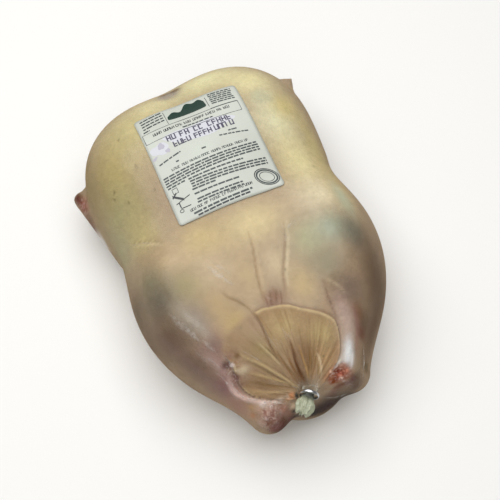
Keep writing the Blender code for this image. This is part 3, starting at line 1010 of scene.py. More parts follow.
STREAKS = {
    # right edge low and right edge shade: painted shade down the right flank, which faces away from the
    # light.
    "right edge low": Streak("#4c2e12", ((91.5, -114.3), (84.0, -130.1), (72.6, -144.0), (62.2, -155.1),
        (54.9, -166.9)),
        (9, 8), 0, 0.6, 1.2, 0.5),
    "right edge shade": Streak("#584334", ((104.0, -57.9), (99.4, -84.8), (92.3, -109.7), (81.0, -131.5),
        (65.1, -150.9)),
        (13, 13), 0, 0.5, 1.2, 0.6),
    "rose fold": Streak("#a17b73", ((-69.5, -107.2), (-67.7, -116.4), (-67.5, -124.7), (-69.3, -133.2)),
        (4, 3.4), -0.3, 0.6, 1.2, 0.5),
    # Lines E to J: painted shade in the fan's sunken pleat grooves.
    "line E": Streak("#7b6133", ((10.1, -113.1), (6.8, -126.9), (3.9, -140.0), (0.9, -152.6)),
        (0.6, 0.6), -0.5, 0.5, 1.1, 0.5),
    "line F": Streak("#85693a", ((18.5, -112.4), (13.1, -127.3), (8.2, -141.6), (3.2, -155.2)),
        (0.6, 0.6), -0.5, 0.45, 1.1, 0.5),
    "line G": Streak("#8d7242", ((23.8, -118.1), (17.7, -132.6), (11.9, -144.6), (5.4, -156.0)),
        (0.6, 0.6), -0.5, 0.4, 1.1, 0.5),
    "line H": Streak("#7f5d29", ((-19.3, -121.6), (-16.7, -133.5), (-13.1, -145.4), (-9.2, -156.9)),
        (0.7, 0.6), -0.6, 0.6, 1.1, 0.5),
    "line I": Streak("#7b5a29", ((-11.4, -121.3), (-11.1, -134.1), (-9.8, -146.7), (-7.3, -159.3)),
        (0.7, 0.7), -0.6, 0.55, 1.1, 0.5),
    "line J": Streak("#866c3c", ((-43.7, -132.9), (-35.0, -141.8), (-25.3, -151.1), (-16.0, -159.2)),
        (0.7, 0.6), -0.5, 0.5, 1.1, 0.5),
    "thigh glare": Streak("#b2a795", ((-89.4, -47.8), (-82.9, -65.7), (-74.7, -83.3), (-66.6, -100.7)),
        (5.5, 4.5), 0, 0.55, 1.2, 0.6),
    "thigh glare low": Streak("#aa8f89", ((-82.1, -95.6), (-75.9, -108.3), (-69.8, -121.1), (-66.3, -133.2)),
        (5, 4), 0, 0.5, 1.2, 0.6),
    "thigh purple": Streak("#7c645e", ((-106.8, -68.4), (-99.2, -88.4), (-90.0, -108.5), (-80.2, -126.5),
        (-71.0, -141.3)),
        (8, 7), 0, 0.45, 1.2, 0.6),
    # Keel creases and pleats: painted shade in their sunken hollows; the pale keel lips carry a painted
    # highlight on the raised edge.
    "keel left": Streak("#8d6e41", ((4.4, -12.1), (1.9, -29.4), (-2.4, -45.8), (-7.0, -63.1), (-8.7, -75.9),
        (-10.1, -85.6)),
        (0.9, 1.3), -0.8, 0.6, 1.2, 0.5),
    "keel left lip": Streak("#c8b28a", ((7.5, -14.5), (4.9, -31.7), (1.0, -47.3), (-3.6, -64.5),
        (-5.0, -76.4)),
        (1.2, 1.2), 0.3, 0.35, 1.2, 0.5),
    "keel right": Streak("#7f6043", ((40.2, -14.5), (32.1, -36.6), (24.5, -51.1), (17.0, -65.3),
        (12.4, -79.8), (7.3, -90.9)),
        (0.9, 1.7), -0.9, 0.6, 1.2, 0.5),
    "keel right lip": Streak("#d6c6a3", ((41.3, -18.7), (34.5, -38.0), (27.3, -52.6), (19.9, -66.7),
        (15.7, -79.2)),
        (1.4, 1.2), 0.5, 0.5, 1.2, 0.5),
    "keel pleat d": Streak("#7b4e2d", ((-7.4, -79.5), (-8.0, -85.4), (-8.7, -91.2)),
        (0.9, 0.9), -0.7, 0.6, 1.1, 0.5),
    "keel pleat e": Streak("#7a4c2a", ((3.2, -73.7), (1.3, -80.1), (-0.6, -86.6)),
        (0.8, 0.8), -0.6, 0.55, 1.1, 0.5),
    "keel shade": Streak("#946b4e", ((-9.3, -85.9), (-0.7, -84.5), (5.7, -90.3)),
        (6, 5), 0, 0.5, 1.2, 0.5),
    "keel pleat a": Streak("#6b441d", ((-1.3, -77.0), (-3.2, -83.4), (-5.0, -89.7)),
        (0.9, 0.9), -0.8, 0.7, 1.1, 0.5),
    "keel pleat b": Streak("#6b441c", ((4.9, -76.5), (1.8, -84.5), (-0.9, -91.6)),
        (0.9, 0.9), -0.8, 0.7, 1.1, 0.5),
    "keel pleat c": Streak("#744f2e", ((8.3, -80.0), (5.6, -87.1), (2.5, -94.0)),
        (0.8, 0.8), -0.6, 0.6, 1.1, 0.5),
    # fold upper and fold: painted shade in the deep sunken fold.
    "fold upper": Streak("#6e4e1b", ((-42.4, -62.4), (-39.2, -68.6), (-33.5, -73.7), (-29.0, -79.2),
        (-25.0, -85.7)),
        (1, 1.6), -1.4, 0.65, 1.1, 0.5),
    "fold": Streak("#6c4612", ((-25.0, -85.7), (-22.9, -94.3), (-21.5, -104.6), (-21.3, -115.1),
        (-21.0, -125.4), (-19.9, -134.0)),
        (1.4, 0.9), -1.6, 0.75, 1.1, 0.5),
    # valley, valley beside and valley left: painted shade in the sunken valleys.
    "valley": Streak("#623912", ((-3.2, -122.9), (-4.0, -133.5), (-5.1, -142.7), (-5.1, -151.9),
        (-4.3, -159.1), (-3.6, -163.3)),
        (0.7, 2.2), -1.5, 0.95, 1.1, 0.4),
    "valley beside": Streak("#82572a", ((-8.5, -128.1), (-9.8, -139.9), (-9.0, -149.5), (-7.0, -158.6)),
        (0.7, 1.6), -0.9, 0.6, 1.1, 0.5),
    "valley left": Streak("#855e34", ((-17.9, -129.5), (-16.2, -139.0), (-13.5, -148.6), (-10.3, -157.2)),
        (0.7, 1.2), -0.8, 0.55, 1.1, 0.5),
    "brown middle": Streak("#7f5e24", ((12.6, -136.2), (9.3, -143.7), (4.5, -151.3), (-0.4, -159.0)),
        (2.4, 3.4), -0.4, 0.5, 1.1, 0.5),
    # ridge valley and ridge right: a painted highlight on the raised crests; ridge right beside: painted
    # shade in the sunken line beside them.
    "ridge valley": Streak("#c29b61", ((2.7, -131.6), (1.8, -142.7), (1.4, -152.8), (0.1, -160.1)),
        (0.9, 0.9), 0.5, 0.5, 1.1, 0.5),
    "ridge right": Streak("#efdab3", ((15.5, -143.2), (15.7, -148.4), (14.9, -153.9), (12.1, -160.4)),
        (1, 1.1), 0.7, 0.5, 1.1, 0.5),
    "ridge right beside": Streak("#927946", ((13.1, -144.1), (12.6, -149.9), (11.4, -156.1), (8.4, -161.9)),
        (0.8, 0.9), -0.5, 0.5, 1.1, 0.5),
    "brown edge right": Streak("#bb8f6a", ((40.2, -138.0), (36.2, -147.0), (30.0, -154.3), (21.6, -159.8),
        (11.7, -164.0)),
        (2.6, 2.8), -0.3, 0.55, 1.1, 0.5),
    # Pleats A to D: a painted highlight on each raised ridge, and painted shade in each sunken valley and
    # line.
    "ridge A": Streak("#d1bc89", ((-50.7, -115.5), (-43.8, -124.0), (-34.3, -133.7), (-25.4, -144.5),
        (-17.7, -153.8), (-11.0, -161.2)),
        (1.1, 0.8), 0.9, 0.6, 1.1, 0.4),
    "valley A": Streak("#745e33", ((-48.3, -123.3), (-39.5, -132.2), (-30.6, -143.0), (-21.3, -153.1),
        (-12.8, -160.8)),
        (1.1, 0.7), -1, 0.65, 1.1, 0.5),
    "valley A upper": Streak("#7d6539", ((-41.3, -122.9), (-32.6, -131.8), (-23.8, -143.0), (-15.6, -153.5)),
        (0.8, 0.7), -0.7, 0.5, 1.1, 0.5),
    "ridge B": Streak("#c4ac7d", ((-49.5, -132.8), (-39.0, -140.0), (-28.8, -147.9), (-19.2, -155.2),
        (-11.2, -161.8)),
        (1.2, 0.8), 0.8, 0.55, 1.1, 0.5),
    "valley B": Streak("#846235", ((-53.4, -139.3), (-41.8, -146.5), (-30.0, -153.0), (-19.6, -158.5),
        (-12.4, -162.4)),
        (1.9, 1), -0.8, 0.6, 1.1, 0.5),
    "ridge C": Streak("#d1b183", ((-51.7, -146.7), (-39.7, -153.1), (-27.4, -158.4), (-17.2, -162.1)),
        (1.8, 1.1), 0.5, 0.5, 1.1, 0.5),
    "line C": Streak("#60491e", ((-27.8, -118.8), (-23.3, -126.2), (-19.4, -135.1), (-16.5, -144.0)),
        (0.8, 0.7), -0.8, 0.65, 1.1, 0.5),
    "line D": Streak("#836c42", ((-37.7, -110.2), (-31.8, -118.9), (-26.5, -129.2), (-21.3, -139.4),
        (-15.8, -149.3)),
        (0.8, 0.7), -0.6, 0.5, 1.1, 0.5),
    "ridge D": Streak("#ccba8d", ((-31.4, -113.6), (-27.2, -121.8), (-22.8, -131.8), (-19.1, -141.2)),
        (0.9, 0.8), 0.5, 0.5, 1.1, 0.5),
    # flap bottom, flap gap and flap edge left: painted shade in the flap's sunken hollows and gap.
    "flap bottom": Streak("#886037", ((-55.3, -148.4), (-48.9, -153.8), (-39.4, -159.1), (-29.2, -163.0),
        (-22.0, -164.5)),
        (0.9, 1.2), -1.2, 0.75, 1.1, 0.5),
    "flap gap": Streak("#5f3a3d", ((-59.9, -127.4), (-58.9, -131.9), (-58.2, -137.1), (-56.8, -142.7)),
        (1.8, 1.6), -1.2, 0.7, 1.1, 0.5),
    "flap edge left": Streak("#8a694f", ((-62.9, -107.6), (-58.9, -112.0), (-54.3, -114.8), (-50.2, -116.5)),
        (1.3, 1.3), -0.7, 0.6, 1.1, 0.5),
    "pink fold": Streak("#e6c7bd", ((-64.9, -129.9), (-65.9, -136.6), (-63.9, -143.2), (-58.8, -149.5),
        (-51.6, -155.6), (-42.0, -160.5), (-30.2, -165.2)),
        (2.4, 2), 1.3, 0.75, 1.1, 0.5),
    "pink fold inner": Streak("#bc9288", ((-62.7, -138.2), (-60.7, -144.9), (-54.8, -151.6)),
        (1.6, 1.4), -0.6, 0.6, 1.1, 0.5),
    # shin crease: painted shade in the sunken crease; shin top edge: a painted highlight along the raised
    # edge.
    "shin crease": Streak("#6e5241", ((46.5, -87.7), (45.6, -96.4), (45.0, -104.4), (45.0, -113.4),
        (45.1, -122.3), (44.4, -130.7)),
        (0.9, 1.6), -1.3, 0.7, 1.1, 0.5),
    "shin top edge": Streak("#c9b596", ((48.0, -86.5), (53.5, -92.3), (58.4, -99.3), (60.8, -105.5)),
        (1.2, 1.2), 0.6, 0.5, 1.1, 0.5),
    "shin mauve": Streak("#9c8077", ((51.4, -101.4), (53.8, -112.0), (56.5, -122.2), (57.3, -132.4)),
        (5.5, 5.5), 0.2, 0.7, 1.1, 0.5),
    "shin band": Streak("#c2aa9b", ((52.1, -108.8), (52.5, -119.4), (52.2, -129.5), (49.7, -138.9),
        (45.5, -149.6)),
        (7, 8.5), 0.5, 0.85, 1.1, 0.5),
    # shin white, shin end left and shin end right: the pale shin end, with a painted highlight on it.
    "shin white": Streak("#efefef", ((49.0, -140.4), (46.4, -146.5), (44.1, -151.7), (41.2, -155.9),
        (37.0, -159.7)),
        (4.5, 6.5), 0.6, 0.97, 1.1, 0.35),
    "shin end left": Streak("#efefe2", ((35.5, -153.5), (29.9, -157.0), (23.5, -160.3)),
        (1.7, 1.5), 0.5, 0.85, 1.1, 0.5),
    "shin end right": Streak("#efefee", ((48.3, -151.8), (44.9, -158.5), (40.8, -164.1)),
        (1.3, 1.2), 0.3, 0.75, 1.1, 0.5),
    "shin shade": Streak("#9b7165", ((64.1, -114.3), (64.0, -124.2), (61.2, -134.8), (56.3, -145.0),
        (51.7, -155.5)),
        (2.4, 2.4), -0.5, 0.6, 1.1, 0.5),
    # waist line: painted shade in the sunken crease; waist lip: a painted highlight on the raised lip.
    "waist line": Streak("#7c6b44", ((-98.9, 27.8), (-89.1, 21.6), (-79.2, 14.4), (-70.5, 7.3)),
        (0.8, 0.8), -0.9, 0.6, 1.1, 0.5),
    "waist lip": Streak("#d5c19c", ((-99.2, 24.3), (-89.4, 18.1), (-79.5, 10.9), (-70.9, 3.8)),
        (1.2, 1.2), 0.4, 0.5, 1.1, 0.5),
}

SPOTS = {
    "shoulder spot": Patch("#c0bea0", (76.9, 115.4, 120.2), (12, 10, 12), 0.6, 1.6, 0),
    "spot right": Patch("#c0b28c", (99.6, 67.5, 102.7), (5, 6, 7), 0.6, 1.6, 0),
    "spot right low": Patch("#c4b587", (103.1, 50.7, 97), (4, 5, 6), 0.5, 1.6, 0),
    "neck grey": Patch("#9b8f81", (-5.2, 166.5, 102), (14, 12, 11), 0.9, 2.2, 0),
    "neck purple": Patch("#5e3c12", (3.1, 171.3, 99.2), (7, 5, 6), 0.7, 1.6, 0),
    "neck left": Patch("#623a12", (-8.9, 172.3, 96.7), (5, 4, 5), 0.6, 1.6, 0),
    "spot breast low": Patch("#9d8b70", (-116.6, 65.7, 71.1), (5, 5, 5), 0.4, 1.6, 0),
    "spot waist green": Patch("#ac9e70", (-81.9, 57.7, 106.8), (8, 8, 8), 0.3, 1.4, 0),
    "spot thigh": Patch("#95896c", (54.7, -72.1, 120.2), (10, 9, 9), 0.5, 1.4, 0),
    "leg right orange": Patch("#7a5338", (67.5, -123.5, 97.6), (4, 12, 9), 0.45, 1.4, 0),
    "leg right purple": Patch("#6a4335", (63.9, -140, 84.6), (4, 10, 8), 0.7, 1.4, 0),
    "wing left red": Patch("#8d4d41", (-126, 106.1, 55.3), (7, 10, 8), 0.9, 1.6, 0),
    "wing hook": Patch("#4e1212", (-128.5, 118.1, 54), (6, 7, 7), 0.9, 1.6, 0),
    "wing edge": Patch("#631212", (-125.9, 85.3, 47.6), (5, 13, 9), 0.7, 1.6, 0),
    "wing left pink": Patch("#846c57", (-125.5, 87.8, 51.7), (6, 14, 9), 0.8, 1.4, 0),
    "wing left low": Patch("#efefef", (-121.6, 62.4, 45.3), (6, 14, 9), 0.7, 1.4, 0),
    "wing right brown": Patch("#af9b83", (124.5, 151.1, 72.3), (5, 6, 6), 0.7, 1.4, 0),
    # flap dark: painted shade in a dip at the flap's corner.
    "flap dark": Patch("#5b3e35", (-63.2, -121.8, 95.2), (6, 4, 5), 0.95, 1.8, -0.8),
    "flap dark orange": Patch("#684821", (-52, -118.4, 100.2), (3, 2.6, 3), 0.8, 1.5, -0.6),
    "flap mauve": Patch("#785950", (-58.9, -116.3, 99.9), (4, 4, 4), 0.6, 1.4, 0.4),
    # A pale raised point on the flap with a painted glint on it.
    "flap glint": Patch("#ecdbd5", (-58.9, -122.9, 95.9), (2.2, 1.8, 2.6), 0.9, 1.5, 0.9),
    "flap corner": Patch("#d9caaa", (-52.2, -130, 93.3), (7, 3.6, 5), 0.5, 1.3, 0.5),
    # flap below corner: painted shade in a dip below the flap's corner.
    "flap below corner": Patch("#754f48", (-59.2, -132.6, 89.1), (4, 4, 4.4), 0.9, 1.6, -0.8),
    "flap brown": Patch("#856757", (-56.4, -139.6, 85.3), (5, 3, 4), 0.6, 1.4, 0),
    "hock left cream": Patch("#efdaca", (-33.5, -163.6, 74.1), (8, 2.4, 4), 0.75, 1.4, 0.7),
    "hock left top white": Patch("#ecdad2", (-45.3, -161.4, 75.3), (4, 2.6, 3.4), 0.85, 1.5, 1),
    "hock left side": Patch("#b6967f", (-51.3, -163.8, 72.2), (3.4, 4, 4.4), 0.8, 1.4, 0.4),
    "hock left pink": Patch("#ab8977", (-44.1, -169.8, 71.4), (5, 4, 5), 0.8, 1.4, 0.8),
    "hock left swirl": Patch("#ebd7d2", (-39, -166, 73.2), (2.6, 2, 2.6), 0.9, 1.5, 1),
    "hock left red line": Patch("#6a2013", (-46.2, -167.1, 72.2), (1.3, 1.8, 2.8), 0.9, 1.5, -1.1),
    "hock left ground": Patch("#a88273", (-40.4, -170.3, 71.3), (13, 9, 12), 0.5, 1.6, 0),
    # hock left low dark: painted shade low on the left hock, like hock left shade below.
    "hock left low dark": Patch("#4d1212", (-36.2, -181.9, 56.7), (10, 5, 9), 0.75, 1.8, 0),
    "hock left shade": Patch("#551212", (-23.5, -179, 51.8), (5, 5, 8), 0.7, 1.8, 0),
    "hock left red crease": Patch("#8e5549", (-38.2, -169.8, 71.4), (3.4, 1.2, 1.6), 0.7, 1.4, -0.8),
    "hock left wet": Patch("#9a8878", (-35.8, -173.5, 68.5), (3.4, 3.4, 4.4), 0.85, 1.5, 0.9),
    "hock left brown": Patch("#a27561", (-27.8, -171.5, 67.1), (3.6, 3.8, 5), 0.85, 1.4, 0.4),
    "hock left dark": Patch("#89604f", (-24.5, -175.9, 60), (4, 4, 6), 0.85, 1.4, -0.4),
    "hock left mauve": Patch("#5d3620", (-32.1, -179.5, 59.5), (5, 4, 6), 0.85, 1.4, 0),
    "hock left rust": Patch("#744a37", (-46.2, -177, 65.3), (4.4, 3, 5), 0.85, 1.4, -0.3),
    "hock left white line": Patch("#dfc8c1", (-46.7, -173.7, 68.4), (1.2, 1.6, 2.4), 0.8, 1.4, 0.5),
    "hock left low": Patch("#7c4f48", (-42.4, -182.3, 56.9), (7, 4, 5), 0.85, 1.4, 0),
    "hock left rim": Patch("#bba08e", (-52.7, -173.9, 64.4), (4, 3, 4), 0.7, 1.4, 0),
    "orange left": Patch("#a57455", (-57.7, -165.2, 66), (4, 3, 4), 0.85, 1.4, 0),
    "ochre left": Patch("#ac8a65", (-56.1, -159.2, 72.1), (3.4, 3, 3.6), 0.8, 1.4, 0),
    "hock left right edge": Patch("#dcc4a6", (-19.1, -172.5, 64.4), (3, 4, 5), 0.8, 1.4, 0),
    # under hock left: painted shadow under the left hock.
    "under hock left": Patch("#121212", (-17.9, -178.4, 48.5), (5, 3, 5), 0.9, 1.4, 0),
    "cut ground": Patch("#95553f", (30, -164.5, 77.8), (12, 9, 12), 0.92, 2, 0),
    "cut left dark": Patch("#8e4b37", (22.4, -165.9, 76.3), (5, 5, 6), 0.85, 1.8, 0),
    "cut rim left": Patch("#965e41", (22.2, -163.6, 79.1), (3.4, 3.2, 4), 0.9, 1.5, 0.8),
    "cut low left": Patch("#804824", (23, -167.1, 74.7), (4, 2.4, 3.4), 0.9, 1.5, 0.7),
    "cut top": Patch("#aa7d6a", (34.9, -159.8, 81.7), (5, 2.4, 3.4), 0.85, 1.5, 0.7),
    "cut right": Patch("#cc876c", (36.6, -164.4, 78.2), (3, 2.8, 3.6), 0.9, 1.5, 1.1),
    "cut middle": Patch("#d57b63", (30.7, -165.2, 77.2), (3.4, 2.6, 3), 0.8, 1.5, 0.5),
    "cut crack": Patch("#762415", (29.3, -162.3, 79.7), (1.6, 1.6, 2.6), 0.95, 1.6, -1.4),
    "cut crack low": Patch("#8e3823", (25.4, -166, 75.9), (1.6, 1.6, 2), 0.8, 1.5, -0.8),
    "cut tip": Patch("#efd6c4", (30.2, -168, 74.2), (2.2, 1.8, 2.6), 0.9, 1.6, 0.9),
    "cut tip low": Patch("#efebe7", (31.7, -170.7, 70.9), (1.8, 1.2, 1.8), 0.8, 1.5, 0.5),
    "cut pale rim": Patch("#efc6b1", (22.2, -160.3, 82.7), (1.8, 1.8, 2.2), 0.8, 1.5, 0.5),
    "cut pink right": Patch("#a98373", (38.4, -167.5, 75.6), (2.2, 3, 3.6), 0.8, 1.5, 0.3),
    "purple right": Patch("#5d3330", (41.6, -171.8, 69.3), (3.6, 4, 5), 0.85, 1.4, 0),
    "mauve low": Patch("#7a5f5c", (35, -173.3, 66.7), (4.4, 3, 4), 0.8, 1.4, 0.3),
    "dark below cut": Patch("#65351f", (27.4, -172.3, 66.1), (7, 2.6, 4), 0.85, 1.5, -0.5),
    "brown below cut": Patch("#8e6859", (20.7, -174.1, 63), (7, 3, 4), 0.7, 1.4, 0),
    "mauve corner": Patch("#594236", (41.5, -177.1, 57.3), (5, 3, 5), 0.75, 1.4, 0),
    "film grey right": Patch("#94785d", (12.7, -169.8, 73), (5, 3, 4), 0.8, 1.4, 0),
    "left of cut": Patch("#a0785b", (16, -163.5, 80.6), (3, 4, 4), 0.7, 1.4, 0),
    "side green": Patch("#4a3912", (59.1, -165.6, 62.6), (4, 6, 7), 0.6, 1.3, 0),
    "orange by clip": Patch("#d59364", (-18.2, -164.6, 76.7), (3, 3.4, 3.6), 0.85, 1.4, 0.5),
    # dark by clip: painted shade in the recess beside the clip.
    "dark by clip": Patch("#121212", (-14.1, -166.8, 75), (1.6, 3, 3.6), 0.95, 1.6, -1.2),
    "pink by clip": Patch("#cda07b", (-22.7, -166.4, 72.7), (3.4, 2.4, 3.4), 0.7, 1.4, 0.3),
    # dark left of tuft: painted shade beside the tuft.
    "dark left of tuft": Patch("#121212", (-19.7, -175.5, 58.7), (2.4, 3, 4), 0.9, 1.4, 0),
    "under shade": Patch("#291212", (10.8, -180.5, 48.1), (27, 10, 18), 0.95, 1.5, 0),
    "under shade right": Patch("#121212", (32.3, -178.4, 41.5), (12, 8, 12), 0.7, 1.5, 0),
    # under dark left: painted shadow under the tail, like the two under shade spots above.
    "under dark left": Patch("#121212", (-3.5, -180.8, 45.7), (8, 4, 6), 0.9, 1.4, 0),
}

# Raw, wet places: where they lie and how strong they are. Their colours come from the skin's finish.
RAW_PLACES = {
    "hock right cut": Patch(SKIN_BASE, (30.1, -164.2, 78.1), (11, 9, 11), 0.95, 2.2),
    "hock left end": Patch(SKIN_BASE, (-40, -169.6, 71.7), (14, 9, 13), 0.5, 2),
    "hock left low": Patch(SKIN_BASE, (-43.9, -178.6, 63.9), (10, 7, 10), 0.5, 1.6),
    "flap corner": Patch(SKIN_BASE, (-59.8, -125, 94.2), (8, 6, 8), 0.5, 1.6),
    "flap edge": Patch(SKIN_BASE, (-60.1, -134.6, 87.3), (5, 6, 6), 0.45, 1.6),
    "fold": Patch(SKIN_BASE, (-57.6, -151.4, 76.6), (9, 4, 6), 0.35, 1.6),
    "beside clip": Patch(SKIN_BASE, (-20.6, -165.8, 74.2), (6, 6, 7), 0.4, 1.6),
    "wing left": Patch(SKIN_BASE, (-126.9, 107.1, 54.3), (7, 12, 9), 0.55, 1.6),
    "keel end": Patch(SKIN_BASE, (-1.4, -86.2, 110.4), (9, 6, 7), 0.3, 1.6),
    "tail side": Patch(SKIN_BASE, (38.9, -174.2, 64.6), (9, 7, 9), 0.35, 1.6),
}

PIN_DOTS = ((-95, 81), (-97, 75), (-86, 64), (-67, 92), (-72, 128), (-39, -98), (20, -147), (20, -64),
    (98, 57),
            (-60, 60), (94, 30))


class DuckSkin:
    """The bird's skin: lobes, limbs, the drawn-in flaps, and every crease and stain that the film shows, with
    painted shade in hollows and on sides turned from the light, and painted highlights on ridges.
    """

    form = BirdForm(inset=0.0005, limb_blend_share=0.8)
    grid = StarGrid(meridians=350, rings=260, first_polar=0.0, top_crowding=0.42, tail_crowding=1.45)
    fan = Fan()
    dot_radius = 1.1
    dot_colour = "#6d6444"

    def build(self) -> bpy.types.Object:
        """Make the skin's mesh, its relief and its colours.

        Returns:
            The piece.
        """
        rings = self.grid.surface(self.form)
        flat = rings.reshape(-1, 3)
        readings = {name: streak.reading(flat, self.form) for name, streak in STREAKS.items()}
        raised = flat + self.form.normals(flat) * self.relief(flat, readings)[:, None]
        rings = self.form.flattened(raised).reshape(rings.shape)
        piece, order = sphere_from_rings("duck_skin", rings)
        paint(piece.data, TINT, self.colours(flat, readings)[order])
        raw = sum(place.strength * place.cover(flat) for place in RAW_PLACES.values())
        paint(piece.data, RAW, np.repeat(np.clip(raw, 0.0, 1.0)[order][:, None], 3, 1))
        return hand_in(piece, "wrapped_duck", [PoultrySkin().build()], "bagged_duck")

    def relief(self, points: np.ndarray, readings: dict) -> np.ndarray:
        """Add up the relief of the fan, the streaks and the spots.

        Args:
            points: Places on the plain form.
            readings: For each streak, its gaps and strengths at the points.

        Returns:
            Heights above the plain form, in metres.
        """
        height = self.fan.height(points)
        for name, streak in STREAKS.items():
            gaps, ends = readings[name]
            height += streak.height * MM * ends * np.exp(-(gaps**2))
        for spot in SPOTS.values():
            height += spot.height * MM * spot.cover(points)
        return height

    def colours(self, points: np.ndarray, readings: dict) -> np.ndarray:
        """Lay the colours of the skin over each other, the wide ones first.

        Args:
            points: Places on the plain form.
            readings: For each streak, its gaps and strengths at the points.

        Returns:
            Linear colours, one a point.
        """
        low = smooth_step(1.0 - points[:, 2] / 0.05)[:, None]
        colours = np.array(linear(SKIN_BASE)) * (1.0 - low) + np.array(linear(UNDERSIDE)) * low
        for patch in PATCHES.values():
            colours = laid_over(colours, patch.colour, patch.strength * patch.cover(points))
        colours = self.fan.painted(colours, points)
        for name, streak in STREAKS.items():
            gaps, ends = readings[name]
            cover = streak.strength * ends * np.exp(-((gaps / streak.spread) ** 2))
            colours = laid_over(colours, streak.colour, cover)
        for spot in SPOTS.values():
            colours = laid_over(colours, spot.colour, spot.strength * spot.cover(points))
        for place in self.form.drape(np.array(PIN_DOTS) * MM):
            gap = np.linalg.norm(points - place, axis=1) / (self.dot_radius * MM)
            colours = laid_over(colours, self.dot_colour, 0.8 * np.exp(-(gap**2)))
        return colours


class FilmBag:
    """The tight clear film round the bird, drawn into the clip at the tail end."""

    form = BirdForm()
    grid = StarGrid(meridians=300, rings=170, first_polar=0.17)
    clip_centre = np.array((-0.0048, -0.1716, 0.0818))
    clip_axis = np.array((-0.55, -0.83, 0.10)) / np.linalg.norm((-0.55, -0.83, 0.10))
    neck_radius = 0.0066
    neck_rings = (0.0, -0.0010, -0.0020, -0.0032, -0.0046, -0.0062)
    pleat_count = 34
    pleat_depth = 0.0005
    pleat_reach = 0.032
    cloud_share = 0.35
    cloud_reach = 0.010

    def build(self) -> bpy.types.Object:
        """Make the film's mesh and mark where it clouds.

        Returns:
            The piece.
        """
        body = self.grid.surface(self.form)
        flat = body.reshape(-1, 3)
        from_clip = np.linalg.norm(flat - self.clip_centre, axis=1)
        angles = np.tile(self.grid.angles(), len(body))
        near = np.exp(-((from_clip / self.pleat_reach) ** 2))
        flat = flat + self.form.normals(flat) * (self.pleat_depth * near
            * np.cos(self.pleat_count * angles))[:, None]
        body = self.form.flattened(flat).reshape(body.shape)
        rings = np.concatenate([self.neck(), body])
        piece, _ = sphere_from_rings("film_bag", rings)
        places = coordinates(piece.data)
        cloud = self.cloud_share * np.exp(
            -((np.linalg.norm(places - self.clip_centre, axis=1) / self.cloud_reach) ** 2))
        paint(piece.data, HAZE_AND_PAINTED_LIGHT, np.repeat(cloud[:, None], 3, 1))
        return hand_in(piece, "wrapped_duck", [ShrinkFilm().build()], "bagged_duck")

    def neck(self) -> np.ndarray:
        """Make the rings of the film's neck, from inside the clip to behind it.

        Returns:
            Places, as rings of meridians.
        """
        angles = self.grid.angles()
        up = np.array((0.0, 0.0, 1.0)) - self.clip_axis * self.clip_axis[2]
        up /= np.linalg.norm(up)
        side = np.cross(up, self.clip_axis)
        around = side * np.sin(angles)[:, None] + up * np.cos(angles)[:, None]
        radii = self.neck_radius * (1.0 + 0.08 * np.cos(self.pleat_count * angles))
        return np.array([self.clip_centre + self.clip_axis * s + around * radii[:, None] for s
            in self.neck_rings])


@dataclass(frozen=True)
class FoldAndSheen:
    """A strip over the film: a crease where it lies doubled on itself, with painted highlight where it
    catches the light; the glare, shimmer and shine strips are painted highlight alone.
    """

    path: tuple[Plan, ...]
    half_width: float
    strength: float = 0.6
    height: float = 0.2

    def shape(self, cells: np.ndarray, form: BirdForm) -> np.ndarray:
        """Lay the corners of a unit grid along the crease.

        Args:
            cells: X and Y of each corner, from -0.5 to 0.5.
            form: The form that the film lies on.

        Returns:
            Places in the frame.
        """
        line = smooth_path(form.drape(np.array(self.path) * MM))
        share = (cells[:, 0] + 0.5) * (len(line) - 1)
        steps = np.arange(len(line))
        middle = np.column_stack([np.interp(share, steps, line[:, axis]) for axis in range(3)])
        ways = np.gradient(line, axis=0)
        along = np.column_stack([np.interp(share, steps, ways[:, axis]) for axis in range(3)])
        normals = form.normals(middle)
        across = np.cross(normals, along)
        across /= np.linalg.norm(across, axis=1, keepdims=True)
        narrowing = np.sqrt(np.clip(1.0 - (2 * cells[:, 0]) ** 2, 0.0, 1.0)) + 0.02
        wander = 1.0 + 0.25 * np.sin(9.0 * cells[:, 0] + 40.0 * self.half_width)
        side = 2 * cells[:, 1] * self.half_width * MM * narrowing * wander
        crest = (0.10 + self.height * (1.0 - (2 * cells[:, 1]) ** 2) * narrowing) * MM
        return middle + across * side[:, None] + normals * crest[:, None]


